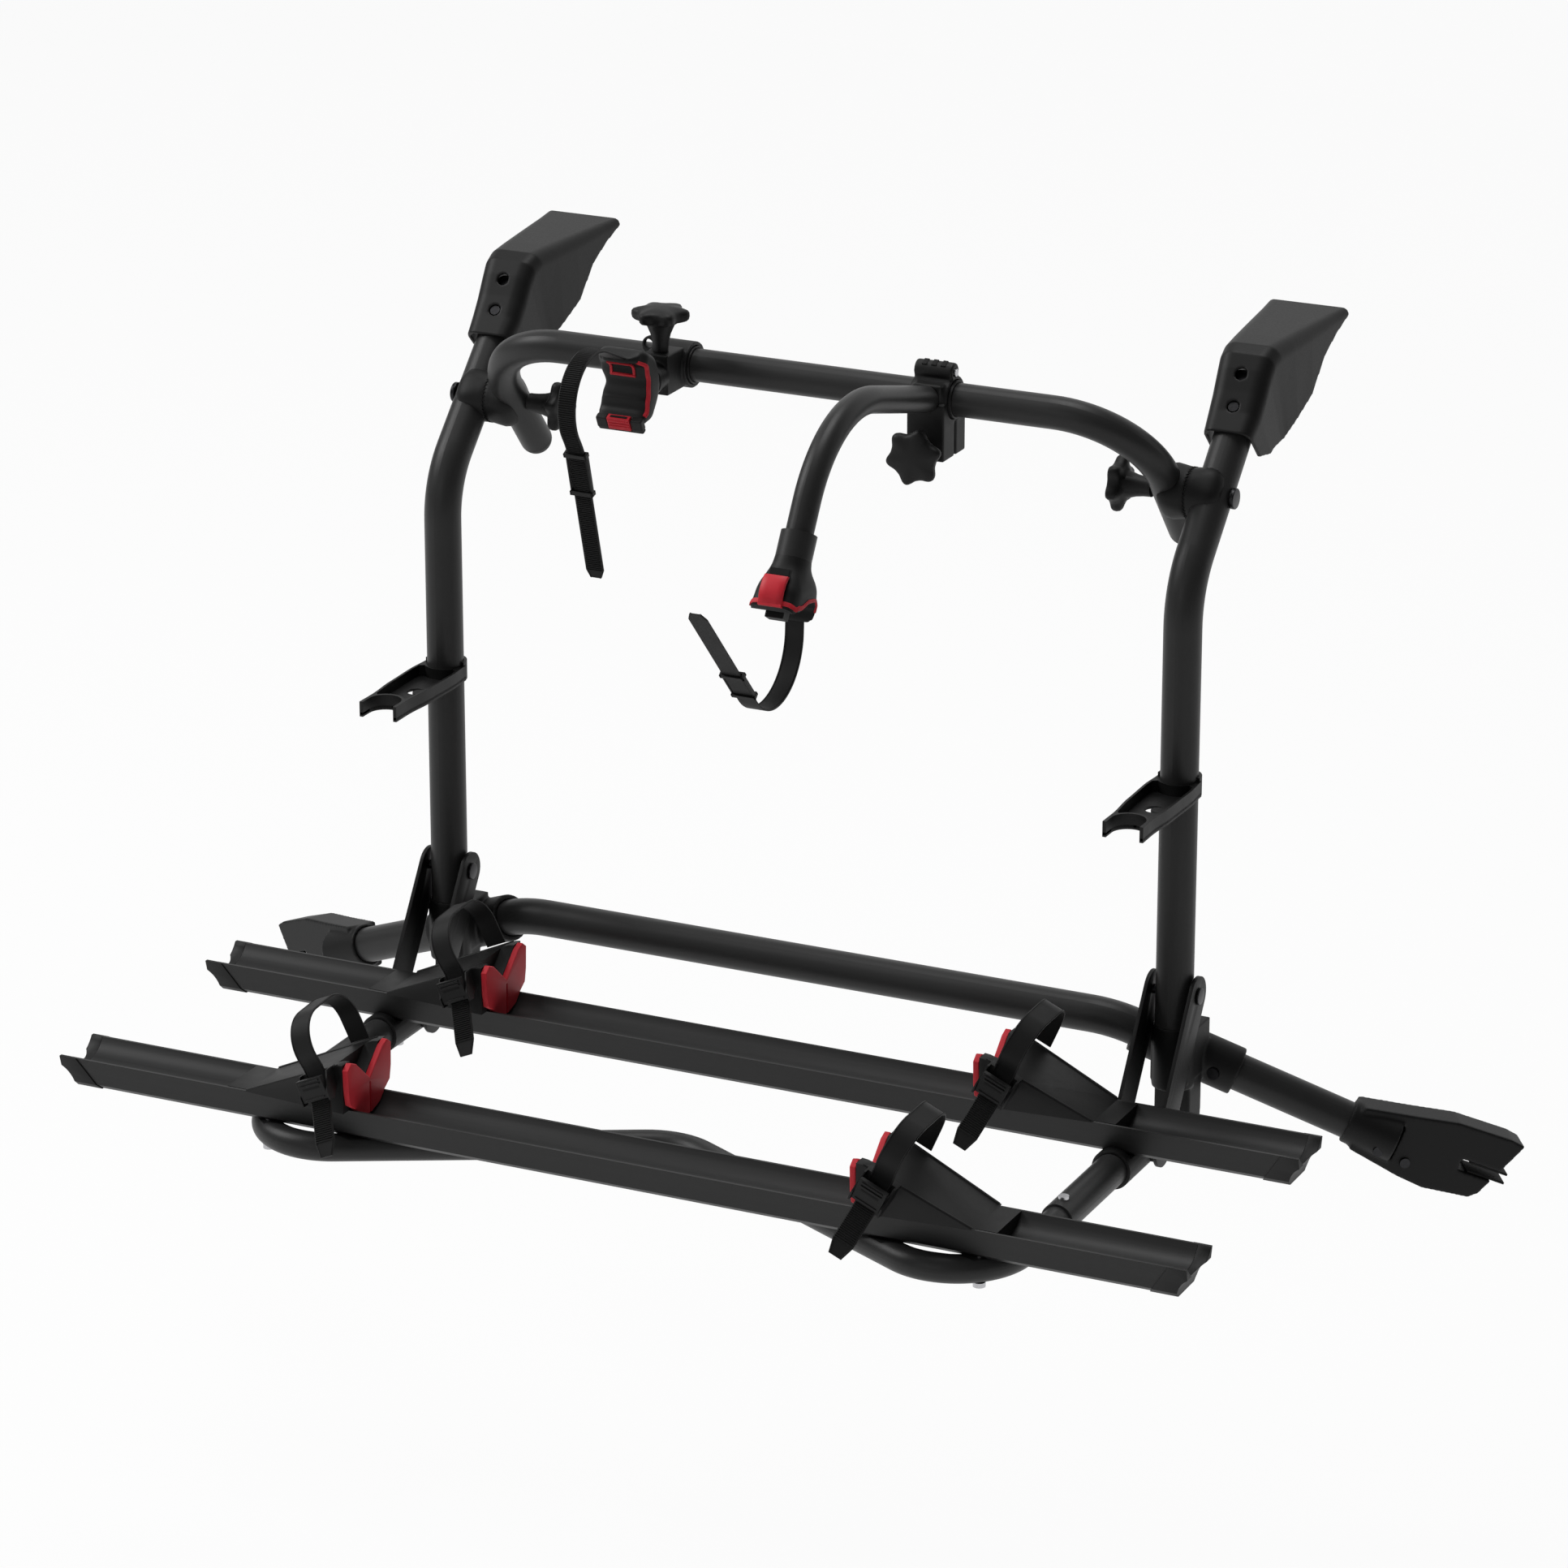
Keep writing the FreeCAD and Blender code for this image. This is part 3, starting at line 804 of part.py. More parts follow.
clip_turn = math.radians(-65)
clip_out = V(0, math.cos(clip_turn), math.sin(clip_turn))
clip_off = V(0, math.sin(clip_turn), -math.cos(clip_turn))


def from_cradle(out, off, aside=0):
    """A point given from the short cradle's middle, out along the buckle and off its lip, as expressions."""
    step = clip_out * out + clip_off * off
    return (f"{short_centre[0]} + ({aside})", f"{short_centre[1]} + ({step.y})", f"{short_centre[2]} + ({step.z})")


buckle_pin = rod("short_buckle_pin", "buckle_pin", 31.2, from_cradle(43.5, 4.7, -15.6), ALONG_X)
cheeks = [slab(f"short_head_cheek_{side}", "XY_Plane",
               [(40.5, -6), (47.5, -6), (47.5, 5), (45.5, 7), (42, 7), (40.5, 5)], 2,
               from_cradle(0, 0, s * 14.6), axes(clip_out, clip_off)) for side, s in SIDES.items()]
node("short_head", join("short_head_whole", [cut("short_head_cut", shell, slot), buckle_pin] + cheeks))
node("short_head_trim", head_trim("short_head_trim", short_centre, turn, flip))
strap = bent("short_strap_band", band("holder_strap", 3),
             [("go", 86), ("turn", 52, -149), ("turn", 120, 19.5), ("go", 130)], slot_at,
             axes(V(0, -math.cos(SHORT_HEADING), math.sin(SHORT_HEADING)),
                  V(0, math.sin(SHORT_HEADING), math.cos(SHORT_HEADING))))
node("short_strap", strap)
clip = slab("short_buckle_clip", "XY_Plane", [(-13, -8), (13, -8), (13, 6.5), (-13, 6.5)], 7,
            from_cradle(39, 4.7), axes(ALONG_X, clip_out))
clip_hole = rod("short_buckle_hole", "buckle_pin + 2 * play", 40, from_cradle(43.5, 4.7, -20), ALONG_X)
node("short_buckle", cut("short_buckle_bored", clip, clip_hole))

bush("long_bush", "long_x", 24)
ARM_RISE = math.radians(14.7)
arm_out = V(0, -math.cos(ARM_RISE), math.sin(ARM_RISE))
arm_up = V(0, math.sin(ARM_RISE), math.cos(ARM_RISE))
jaw = block("long_clamp_jaw", ("long_x - 21", "long_x + 21"), ("upright_y - 30", "upright_y + 26"),
            ("bow_z - 60", "bow_z"))
seat = block("long_clamp_seat", ("long_x - 16", "long_x + 16"), ("upright_y - 27", "upright_y"),
             ("bow_z - 14", "bow_z + 20"))
knuckle = rod("long_clamp_knuckle", 20, 43, ("long_x - 21.5", "upright_y - 2", "bow_z + 29"), ALONG_X)
pin_hole = rod("long_clamp_pin_hole", 8, 60, ("long_x - 30", "upright_y - 2", "bow_z + 29"), ALONG_X)
stud_hole = rod("long_clamp_stud_hole", "8 + 2 * play", 90, ("long_x", "upright_y - 60", "bow_z - 49"), ALONG_Y)
split = block("long_clamp_split", ("long_x - 40", "long_x + 40"), ("upright_y - 1.5", "upright_y + 1.5"),
              ("bow_z - 80", "bow_z - 22"))
node("long_clamp", clamp_ring("long_clamp", "long_x", 21.5, [pin_hole, stud_hole, split], [jaw, seat, knuckle]))
node("long_clamp_pin", rod("long_clamp_pin_rod", 8, 46, ("long_x - 23", "upright_y - 2", "bow_z + 29"), ALONG_X))
grip = star("long_knob", 60, 20, ("long_x", "upright_y - 44", "bow_z - 49"), V(0, -1, 0), (18, 13.8))
stud = rod("long_knob_stud", 8, 62, ("long_x", "upright_y - 46", "bow_z - 49"), ALONG_Y)
node("long_knob", join("long_knob_whole", [grip, stud]))
ARM_ALONG, ARM_BEND, ARM_TURN, ARM_END = 135, 140, 73.7, 35
arm_at = ("long_x", "upright_y - 27", "bow_z + 4.5")
arm = bent("long_arm_tube", disc(28.5, 24.5), [("go", ARM_ALONG), ("turn", ARM_BEND, -ARM_TURN), ("go", ARM_END)],
           arm_at, axes(arm_out, arm_up))
# the arm's end is the head's own frame: `down` along the arm and `front` square to it
fall = math.radians(ARM_TURN) - ARM_RISE
down = V(0, -math.cos(fall), -math.sin(fall))
front = V(0, -math.sin(fall), math.cos(fall))
swing = arm_up * math.cos(math.radians(ARM_TURN)) + arm_out * math.sin(math.radians(ARM_TURN)) - arm_up
arm_end = arm_out * ARM_ALONG + swing * ARM_BEND + down * ARM_END


def from_arm_end(along, ahead, aside=0):
    """A point given from the arm's end, as expressions."""
    step = arm_end + down * along + front * ahead
    return (f"long_x + ({aside})", f"{arm_at[1]} + ({step.y})", f"{arm_at[2]} + ({step.z})")


collar = rod("long_arm_collar", 37, 28, from_arm_end(-2, 0), down)
node("long_arm", cut("long_arm_welded", join("long_arm_whole", [arm, collar]), NODES["long_clamp"]))
head_turn = FreeCAD.Rotation(ALONG_X * -1, down, front, "XYZ")
side_view = slab("long_head_side", "YZ_Plane", [(26.5, -17), (26.5, 17), (44, 29), (81, 29), (88, 16), (88, 4),
                                                (82, -35), (56, -31)], 50, from_arm_end(0, 0), head_turn)
front_view = slab("long_head_front", "XY_Plane", [(-17, 26), (17, 26), (25, 45), (25, 89), (-25, 89), (-25, 45)],
                  80, from_arm_end(0, 0), head_turn)
tube_room = rod("long_head_tube_room", 56, 60, from_arm_end(90, -8, -30), ALONG_X)
lip_room = [slab(f"long_head_lip_room_{side}", "YZ_Plane", [(82, -5), (95, -5), (95, 40), (82, 40)], 20,
                 from_arm_end(0, 0, s * 20), head_turn) for side, s in SIDES.items()]
STRAP_FALL = math.radians(-93)
strap_down = V(0, math.cos(STRAP_FALL), math.sin(STRAP_FALL))
strap_axes = axes(strap_down, V(0, -strap_down.z, strap_down.y))
slot = bent("long_head_slot", band("holder_strap", 3), [("go", 27)], from_arm_end(64.8, -28), strap_axes)
shell = cut("long_head_cut", common("long_head_solid", side_view, front_view),
            join("long_head_room", [tube_room, slot] + lip_room))
lever_pin = rod("long_lever_pin", "buckle_pin", 31.2, from_arm_end(49.9, 32.4, -15.6), ALONG_X)
cheeks = [slab(f"long_head_cheek_{side}", "YZ_Plane",
               [(46, 26), (54, 26), (53, 34), (51, 36), (48.5, 36), (46, 33)], 2,
               from_arm_end(0, 0, s * 14.6), head_turn) for side, s in SIDES.items()]
node("long_head", join("long_head_whole", [shell, lever_pin] + cheeks))
edges = []
for side, s in SIDES.items():
    # a soft edging follows the cradle on each side face
    start = from_arm_end(90, -8, s * 26 - 0.9)
    ring = rod(f"long_trim_{side}_ring", 65, 1.8, start, ALONG_X)
    hole = rod(f"long_trim_{side}_hole", 56, 4, from_arm_end(90, -8, s * 26 - 2), ALONG_X)
    outline = slab(f"long_trim_{side}_outline", "YZ_Plane", [(50, -34), (50, 29), (82, 29), (82, -35)], 10,
                   from_arm_end(0, 0, s * 26), head_turn)
    edges.append(common(f"long_trim_{side}", cut(f"long_trim_{side}_band", ring, hole), outline))
edges.append(slab("long_trim_front", "XY_Plane", [(-25, 76), (-14, 76), (-14, 81), (-25, 81)], 1.6,
                  from_arm_end(0, 29.8), head_turn))
edges.append(slab("long_trim_corner", "XY_Plane", [(14, 76), (25, 76), (25, 81), (14, 81)], 1.6,
                  from_arm_end(0, 29.8), head_turn))
node("long_head_trim", group("long_trim_set", edges))
strap = bent("long_strap_band", band("holder_strap", 3), [("go", 27), ("turn", 61, -134), ("go", 168)],
             from_arm_end(64.8, -28), strap_axes)
node("long_strap", strap)
lever = slab("long_lever_plate", "XY_Plane", [(-13, 48), (13, 48), (13, 78), (-13, 78)], 5.4,
             from_arm_end(0, 32.4), head_turn)
lever_hole = rod("long_lever_hole", "buckle_pin + 2 * play", 40, from_arm_end(49.9, 32.4, -20), ALONG_X)
node("long_lever", cut("long_lever_bored", lever, lever_hole))

# Check every piece, then write one file for each node

doc.recompute()
for item in doc.Objects:
    if "Invalid" in item.State or "Error" in item.State:
        raise RuntimeError(f"{item.Name}: {item.getStatusString()}")
for name, thing in NODES.items():
    if thing.Shape.isNull() or not thing.Shape.isValid():
        raise RuntimeError(f"{name} has no sound shape")
os.makedirs("parts", exist_ok=True)
for name, thing in NODES.items():
    thing.Shape.exportStep(f"parts/{name}.step")
print(len(NODES), "pieces written")
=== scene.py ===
# %% [markdown]
# # A bike carrier for the rear door of a van
#
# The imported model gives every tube, hook, rail and clamp at its real size, in metres, with +Z up.
# This lesson dresses it: each piece gets the surface that the real one has, and the pieces whose
# charm is in small forms, such as ribbed straps and hand knobs, are built again in more detail.

# %% Load the frame
import json
import math

import bmesh
import bpy
from mathutils import Matrix, Vector

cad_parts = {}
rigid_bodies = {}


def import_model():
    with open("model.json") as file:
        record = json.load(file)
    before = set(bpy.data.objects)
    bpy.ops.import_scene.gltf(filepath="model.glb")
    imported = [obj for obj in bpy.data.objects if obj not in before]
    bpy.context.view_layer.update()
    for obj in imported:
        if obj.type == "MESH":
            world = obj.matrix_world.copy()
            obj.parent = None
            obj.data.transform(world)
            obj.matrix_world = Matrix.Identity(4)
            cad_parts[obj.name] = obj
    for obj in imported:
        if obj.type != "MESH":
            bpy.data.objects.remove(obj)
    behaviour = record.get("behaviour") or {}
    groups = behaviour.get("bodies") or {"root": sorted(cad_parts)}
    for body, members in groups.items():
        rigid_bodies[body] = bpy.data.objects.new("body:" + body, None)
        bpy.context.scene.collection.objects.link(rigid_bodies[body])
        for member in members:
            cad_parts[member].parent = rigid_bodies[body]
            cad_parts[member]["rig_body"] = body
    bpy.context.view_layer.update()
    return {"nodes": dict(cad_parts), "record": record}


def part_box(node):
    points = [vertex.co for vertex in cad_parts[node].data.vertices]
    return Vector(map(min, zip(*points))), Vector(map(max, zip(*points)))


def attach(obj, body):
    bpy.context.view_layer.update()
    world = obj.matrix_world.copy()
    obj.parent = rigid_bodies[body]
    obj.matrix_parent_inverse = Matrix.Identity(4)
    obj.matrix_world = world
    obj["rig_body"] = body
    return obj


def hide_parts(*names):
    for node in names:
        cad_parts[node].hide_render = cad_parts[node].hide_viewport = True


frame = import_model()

MM = 0.001

# %% [markdown]
# The photograph was taken from the front right and a little above, from 6.7 m away with a long lens,
# so lines that run away from the viewer stay nearly parallel. The camera stands at that place and
# looks along the same line: its three axes are written out, because a measured camera rarely points
# exactly at a round target.

# %% Camera
CAMERA_AT = Vector((2.6591, -5.9308, 1.7586))
CAMERA_RIGHT = Vector((0.9027, 0.4302, 0.0))
CAMERA_UP = Vector((-0.1463, 0.3069, 0.9404))
LENS_MM = 143.1

camera = bpy.data.objects.new("camera", bpy.data.cameras.new("camera"))
bpy.context.scene.collection.objects.link(camera)
turn = Matrix((CAMERA_RIGHT, CAMERA_UP, CAMERA_RIGHT.cross(CAMERA_UP))).transposed()
camera.matrix_world = Matrix.Translation(CAMERA_AT) @ turn.to_4x4()
camera.data.lens = LENS_MM
camera.data.sensor_width = 36
camera.data.clip_end = 60
bpy.context.scene.camera = camera
print("camera", [round(c, 2) for c in CAMERA_AT], "lens", LENS_MM, "mm")

# %% [markdown]
# Colours are easiest to choose as the hex values that a picture shows, but a shader mixes light, so
# each value is turned to linear first. One helper adds a node with its settings and its inputs: an
# input is either a plain value or another node's output, which is then linked.

# %% Colour and node helpers
FIRST, SECOND, MIXED = 6, 7, 2  # the two colour inputs of a colour mix node, and its colour output


def linear(hex_colour):
    """A hex colour as the linear red, green, blue and alpha that a shader takes."""
    channels = [int(hex_colour[i:i + 2], 16) / 255 for i in (1, 3, 5)]
    return tuple(c / 12.92 if c <= 0.04045 else ((c + 0.055) / 1.055) ** 2.4 for c in channels) + (1.0,)


def add(tree, kind, inputs=(), **settings):
    """Add a node to a tree with its settings, and set or link its inputs by name or number."""
    node = tree.nodes.new(kind)
    for name, value in settings.items():
        setattr(node, name, value)
    for name, value in dict(inputs).items():
        if isinstance(value, bpy.types.NodeSocket):
            tree.links.new(value, node.inputs[name])
        else:
            node.inputs[name].default_value = value
    return node


def new_material(name):
    """An empty node material and the place on the piece, in metres, that its patterns follow."""
    material = bpy.data.materials.new(name)
    material.use_nodes = True
    material.node_tree.nodes.clear()
    place = add(material.node_tree, "ShaderNodeTexCoord").outputs["Object"]
    return material, material.node_tree, place


print("linear mid grey:", round(linear("#808080")[0], 3))

# %% [markdown]
# ## Powder-coated aluminium tube
#
# The bows and uprights are drawn aluminium tube, bent and then powder coated: pigment and resin are
# sprayed on dry and baked to a satin skin about 0.08 mm thick. The eye sees an anthracite grey with a
# wide soft highlight, and close up a faint orange-peel swell about 2 mm from crest to crest. It could
# be painted with a plain glossy shader, but the swell in the normals is what spreads the highlight.

# %% Powder coat
COAT_GLOSS = 0.25  # specular level: the matting agent in the powder halves a plain skin's gloss


def powder_coat(name, dark, light, roughness, swell_mm, swell_height_mm):
    """Baked satin powder over metal: two near greys, an orange-peel swell and a fine grit."""
    material, tree, place = new_material(name)
    cloud = add(tree, "ShaderNodeTexNoise", {"Vector": place, "Scale": 1 / (60 * MM), "Detail": 3.0})
    colour = add(tree, "ShaderNodeMix", {0: cloud.outputs[0], FIRST: linear(dark), SECOND: linear(light)},
                 data_type="RGBA")
    swell = add(tree, "ShaderNodeTexNoise", {"Vector": place, "Scale": 1 / (swell_mm * MM), "Detail": 2.0})
    rough = add(tree, "ShaderNodeMapRange", {"Value": swell.outputs[0], "To Min": roughness - 0.05,
                                             "To Max": roughness + 0.06})
    bump = add(tree, "ShaderNodeBump", {"Height": swell.outputs[0], "Strength": 0.5,
                                        "Distance": swell_height_mm * MM})
    skin = add(tree, "ShaderNodeBsdfPrincipled", {
        "Base Color": colour.outputs[MIXED], "Metallic": 0.0, "IOR": 1.5, "Specular IOR Level": COAT_GLOSS,
        "Roughness": rough.outputs[0], "Normal": bump.outputs[0]})
    add(tree, "ShaderNodeOutputMaterial", {"Surface": skin.outputs[0]})
    return material


tube_coat = powder_coat("powder_coated_drawn_aluminium", "#2c2c2c", "#323232", 0.42, 2.0, 0.05)
plate_coat = powder_coat("powder_coated_folded_aluminium", "#121212", "#161616", 0.50, 2.0, 0.05)
casting_coat = powder_coat("powder_coated_cast_aluminium", "#0c0c0c", "#111111", 0.55, 1.2, 0.10)
print("powder coats:", tube_coat.name, plate_coat.name, casting_coat.name)

# %% [markdown]
# ## Extruded rail
#
# The wheel rails are pushed through a die, which leaves straight faint lines along their whole length,
# and then powder coated like the tubes. Noise that is stretched along X draws those lines: it changes
# fast across the rail, every 1.5 mm or so, and hardly at all along it.

# %% Extruded rail
DIE_LINE_MM = 1.5
DIE_LINE_LONG_MM = 900
rail_coat, tree, place = new_material("powder_coated_extruded_aluminium")
stretch = add(tree, "ShaderNodeMapping", {"Vector": place,
                                          "Scale": (DIE_LINE_MM / DIE_LINE_LONG_MM, 1.0, 1.0)})
lines = add(tree, "ShaderNodeTexNoise", {"Vector": stretch.outputs[0], "Scale": 1 / (DIE_LINE_MM * MM),
                                         "Detail": 2.0})
grey = add(tree, "ShaderNodeMix", {0: lines.outputs[0], FIRST: linear("#212121"), SECOND: linear("#292929")},
           data_type="RGBA")
rough = add(tree, "ShaderNodeMapRange", {"Value": lines.outputs[0], "To Min": 0.36, "To Max": 0.48})
bump = add(tree, "ShaderNodeBump", {"Height": lines.outputs[0], "Strength": 0.4, "Distance": 0.05 * MM})
skin = add(tree, "ShaderNodeBsdfPrincipled", {
    "Base Color": grey.outputs[MIXED], "IOR": 1.5, "Specular IOR Level": COAT_GLOSS,
    "Roughness": rough.outputs[0], "Normal": bump.outputs[0]})
add(tree, "ShaderNodeOutputMaterial", {"Surface": skin.outputs[0]})
print("rail:", rail_coat.name)

# %% [markdown]
# ## Moulded nylon, soft moulding and strap
#
# The holders' clamps and shells, the knobs, the caps and the chocks are glass-filled nylon, moulded in an
# eroded tool, so their skin is a fine even grain that hides scratches and looks nearly black. The red
# faces and edgings are a soft thermoplastic, duller and slightly mottled, the straps are the same family
# in black, and the liners are rubber; the same dark rubber is also laid in slots, a recess and the tilt
# clamps' tooth joints as painted shade. All are one recipe: a grain size in millimetres, a depth, and a
# roughness.

# %% Mouldings
MOULDED_GLOSS = 0.3  # specular level: an eroded tool leaves less gloss than a polished one


def moulding(name, dark, light, roughness, grain_mm, grain_height_mm, sheen=0.0):
    """A moulded plastic: grain of a real size in its bump, and a slight mottle in its colour."""
    material, tree, place = new_material(name)
    mottle = add(tree, "ShaderNodeTexNoise", {"Vector": place, "Scale": 1 / (15 * MM), "Detail": 4.0})
    colour = add(tree, "ShaderNodeMix", {0: mottle.outputs[0], FIRST: linear(dark), SECOND: linear(light)},
                 data_type="RGBA")
    grain = add(tree, "ShaderNodeTexVoronoi", {"Vector": place, "Scale": 1 / (grain_mm * MM)})
    rough = add(tree, "ShaderNodeMapRange", {"Value": mottle.outputs[0], "To Min": roughness - 0.05,
                                             "To Max": roughness + 0.05})
    bump = add(tree, "ShaderNodeBump", {"Height": grain.outputs["Distance"], "Strength": 0.5,
                                        "Distance": grain_height_mm * MM})
    skin = add(tree, "ShaderNodeBsdfPrincipled", {
        "Base Color": colour.outputs[MIXED], "IOR": 1.5, "Specular IOR Level": MOULDED_GLOSS,
        "Roughness": rough.outputs[0], "Normal": bump.outputs[0],
        "Sheen Weight": sheen, "Sheen Roughness": 0.5})
    add(tree, "ShaderNodeOutputMaterial", {"Surface": skin.outputs[0]})
    return material


# real grain is about 0.3 mm, too fine for the picture, so it is drawn two or three times as coarse
nylon = moulding("moulded_glass_filled_nylon", "#0a0a0a", "#0f0f0f", 0.54, 0.8, 0.05)
strap_plastic = moulding("moulded_black_elastomer", "#040404", "#070707", 0.62, 0.8, 0.04, sheen=0.05)
red_soft = moulding("moulded_red_elastomer", "#c41f2e", "#d62a38", 0.55, 0.8, 0.04, sheen=0.05)
red_nylon = moulding("moulded_red_nylon", "#c82130", "#da2c3a", 0.46, 0.8, 0.03)
# the liners' rubber, which is also used as painted shade in slots, a recess and the tilt clamps' tooth joints
liner = moulding("epdm_rubber_and_painted_shade", "#0c0c0c", "#141414", 0.75, 0.6, 0.05)
print("mouldings:", nylon.name, strap_plastic.name, red_soft.name, red_nylon.name, liner.name)

# %% [markdown]
# ## Fasteners
#
# The bolts under the platform and the pin of the long holder's hinge are steel with a thin zinc plating,
# which gives a bright, slightly cloudy metal. The screws in the hooks and castings and the bolts of the
# tilt clamps and fold pivots are steel blackened in a hot salt bath. Both are metals, so their colour is
# the colour of their reflection.

# %% Fasteners


def plated_steel(name, dark, light, roughness):
    """Turned steel with a thin plating that clouds its shine."""
    material, tree, place = new_material(name)
    cloud = add(tree, "ShaderNodeTexNoise", {"Vector": place, "Scale": 1 / (3 * MM), "Detail": 4.0})
    colour = add(tree, "ShaderNodeMix", {0: cloud.outputs[0], FIRST: linear(dark), SECOND: linear(light)},
                 data_type="RGBA")
    rough = add(tree, "ShaderNodeMapRange", {"Value": cloud.outputs[0], "To Min": roughness - 0.06,
                                             "To Max": roughness + 0.08})
    skin = add(tree, "ShaderNodeBsdfPrincipled", {"Base Color": colour.outputs[MIXED], "Metallic": 1.0,
                                                  "Roughness": rough.outputs[0]})
    add(tree, "ShaderNodeOutputMaterial", {"Surface": skin.outputs[0]})
    return material


zinc = plated_steel("zinc_plated_steel", "#a9a9ab", "#cfcfd2", 0.32)
black_steel = plated_steel("blackened_steel", "#2a2a2b", "#3a3a3c", 0.38)
print("fasteners:", zinc.name, black_steel.name)

# %% [markdown]
# ## Which piece has which finish
#
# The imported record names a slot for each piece. The table below gives each slot its finish, so a tube
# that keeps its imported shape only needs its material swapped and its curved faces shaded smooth.

# %% Finishes by slot
FINISHES = {"coated_tube": tube_coat, "coated_plate": plate_coat, "casting": casting_coat,
            "rail": rail_coat, "moulding": nylon, "liner": liner, "bolt": zinc, "dark_screw": black_steel,
            "strap": strap_plastic, "red_soft": red_soft, "red_lever": red_nylon}
slot_of = {entry["node"]: entry["material_slot"] for entry in frame["record"]["subparts"]}
for name, thing in frame["nodes"].items():
    thing.data.materials.clear()
    thing.data.materials.append(FINISHES[slot_of[name]])
print({slot: sum(1 for s in slot_of.values() if s == slot) for slot in FINISHES})

# %% [markdown]
# ## Rounded edges
#
# Nothing that is cast, folded or moulded has a knife edge, and it is the thin highlight along a rounded
# edge that tells the eye so. For a crisp part the edges are bevelled. For a casting, where walls also
# flow into each other, the solid is rebuilt from small cubes and smoothed, which rounds inner corners as
# well as outer ones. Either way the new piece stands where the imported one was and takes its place.

# %% Rounding helpers


def copy_of(node, suffix):
    """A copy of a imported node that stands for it, with split vertices merged and flat faces joined."""
    source = frame["nodes"][node]
    piece = bpy.data.objects.new(f"{node}_{suffix}", source.data.copy())
    bpy.context.scene.collection.objects.link(piece)
    mesh = bmesh.new()
    mesh.from_mesh(piece.data)
    bmesh.ops.remove_doubles(mesh, verts=mesh.verts, dist=0.01 * MM)
    bmesh.ops.dissolve_limit(mesh, angle_limit=math.radians(0.5), verts=mesh.verts, edges=mesh.edges)
    mesh.to_mesh(piece.data)
    mesh.free()
    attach(piece, source["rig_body"])
    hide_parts(node)
    return piece


def bevelled(node, radius_mm):
    """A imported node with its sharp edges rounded."""
    piece = copy_of(node, "rounded")
    bevel = piece.modifiers.new("rounding", "BEVEL")
    bevel.width = radius_mm * MM
    bevel.segments = 3
    bevel.limit_method = "ANGLE"
    bevel.angle_limit = math.radians(32)
    bevel.harden_normals = True
    piece.data.shade_smooth()


def flowing(node, voxel_mm, rounds):
    """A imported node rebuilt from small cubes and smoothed, so that its walls flow together."""
    piece = copy_of(node, "cast")
    cubes = piece.modifiers.new("cubes", "REMESH")
    cubes.mode = "VOXEL"
    cubes.voxel_size = voxel_mm * MM
    cubes.use_smooth_shade = True
    soften = piece.modifiers.new("soften", "SMOOTH")
    soften.factor = 0.5
    soften.iterations = rounds


# %% Round the crisp pieces and let the castings flow
# the radius of each piece's rounding, in millimetres
CRISP = {"rail_caps": 0.8, "short_bush": 0.8, "long_bush": 0.8, "strut_left": 0.8,
         "strut_right": 0.8, "clamp_bolts": 1.0, "pivot_bolts": 0.8, "lower_jaws": 0.5}
# the size of the cubes in millimetres, and how many times they are smoothed
CAST = {"lower_bracket_left": (1.5, 8), "lower_bracket_right": (1.5, 8),
        "lower_hook_left": (1.5, 8), "lower_hook_right": (1.5, 8),
        "top_hook_left": (1.2, 6), "top_hook_right": (1.2, 6),
        "short_clamp": (1.0, 8), "long_clamp": (1.2, 16)}
for row in ("outer", "inner"):
    for side in ("left", "right"):
        CRISP[f"chock_face_{row}_{side}"] = 1.2
        CRISP[f"chock_{row}_{side}"] = 1.2
for node, radius in CRISP.items():
    bevelled(node, radius)
for node, (voxel, rounds) in CAST.items():
    flowing(node, voxel, rounds)
print(len(CRISP), "crisp pieces,", len(CAST), "flowing pieces")

# %% [markdown]
# ## Meshes from rings
#
# Most of the detailed pieces are lofts: a row of closed rings, each one cross-section, joined by
# faces and closed at both ends. A knob, a strap and a padded jaw can all be described that way, in
# millimetres and in the part's own frame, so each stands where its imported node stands.

# %% Mesh helpers
X, Y, Z = Vector((1, 0, 0)), Vector((0, 1, 0)), Vector((0, 0, 1))


def turns(count):
    """Angles in radians, evenly spread round a full turn."""
    return [2 * math.pi * i / count for i in range(count)]


def oval(centre, first, second, count):
    """Points round an oval, from its centre and its two half widths as vectors."""
    return [Vector(centre) + first * math.cos(a) + second * math.sin(a) for a in turns(count)]


def squared(part, power):
    """A sine or cosine pushed towards 1, which turns a circle into a rounded box."""
    return math.copysign(abs(part) ** power, part)


def joined_rows(mesh, rings, last_to_first=False):
    """Rings of equal length, in millimetres, as rows of vertices with faces from row to row."""
    rows = [[mesh.verts.new(Vector(point) * MM) for point in ring] for ring in rings]
    for near, far in zip(rows, rows[1:] + rows[:1] if last_to_first else rows[1:]):
        for i in range(len(near)):
            j = (i + 1) % len(near)
            mesh.faces.new((near[i], near[j], far[j], far[i]))
    return rows


def ringed(rings):
    """A closed mesh through rings."""
    mesh = bmesh.new()
    rows = joined_rows(mesh, rings)
    mesh.faces.new(rows[0])
    mesh.faces.new(rows[-1])
    bmesh.ops.recalc_face_normals(mesh, faces=mesh.faces)
    return mesh


def bar(centre, axes, sizes):
    """A rectangular bar round a centre, with its three axes and its sizes along them."""
    x, y, z = (Vector(axis) * size / 2 for axis, size in zip(axes, sizes))
    middle = Vector(centre)
    return ringed([[middle - x - y + end, middle + x - y + end, middle + x + y + end, middle - x + y + end]
                   for end in (-z, z)])


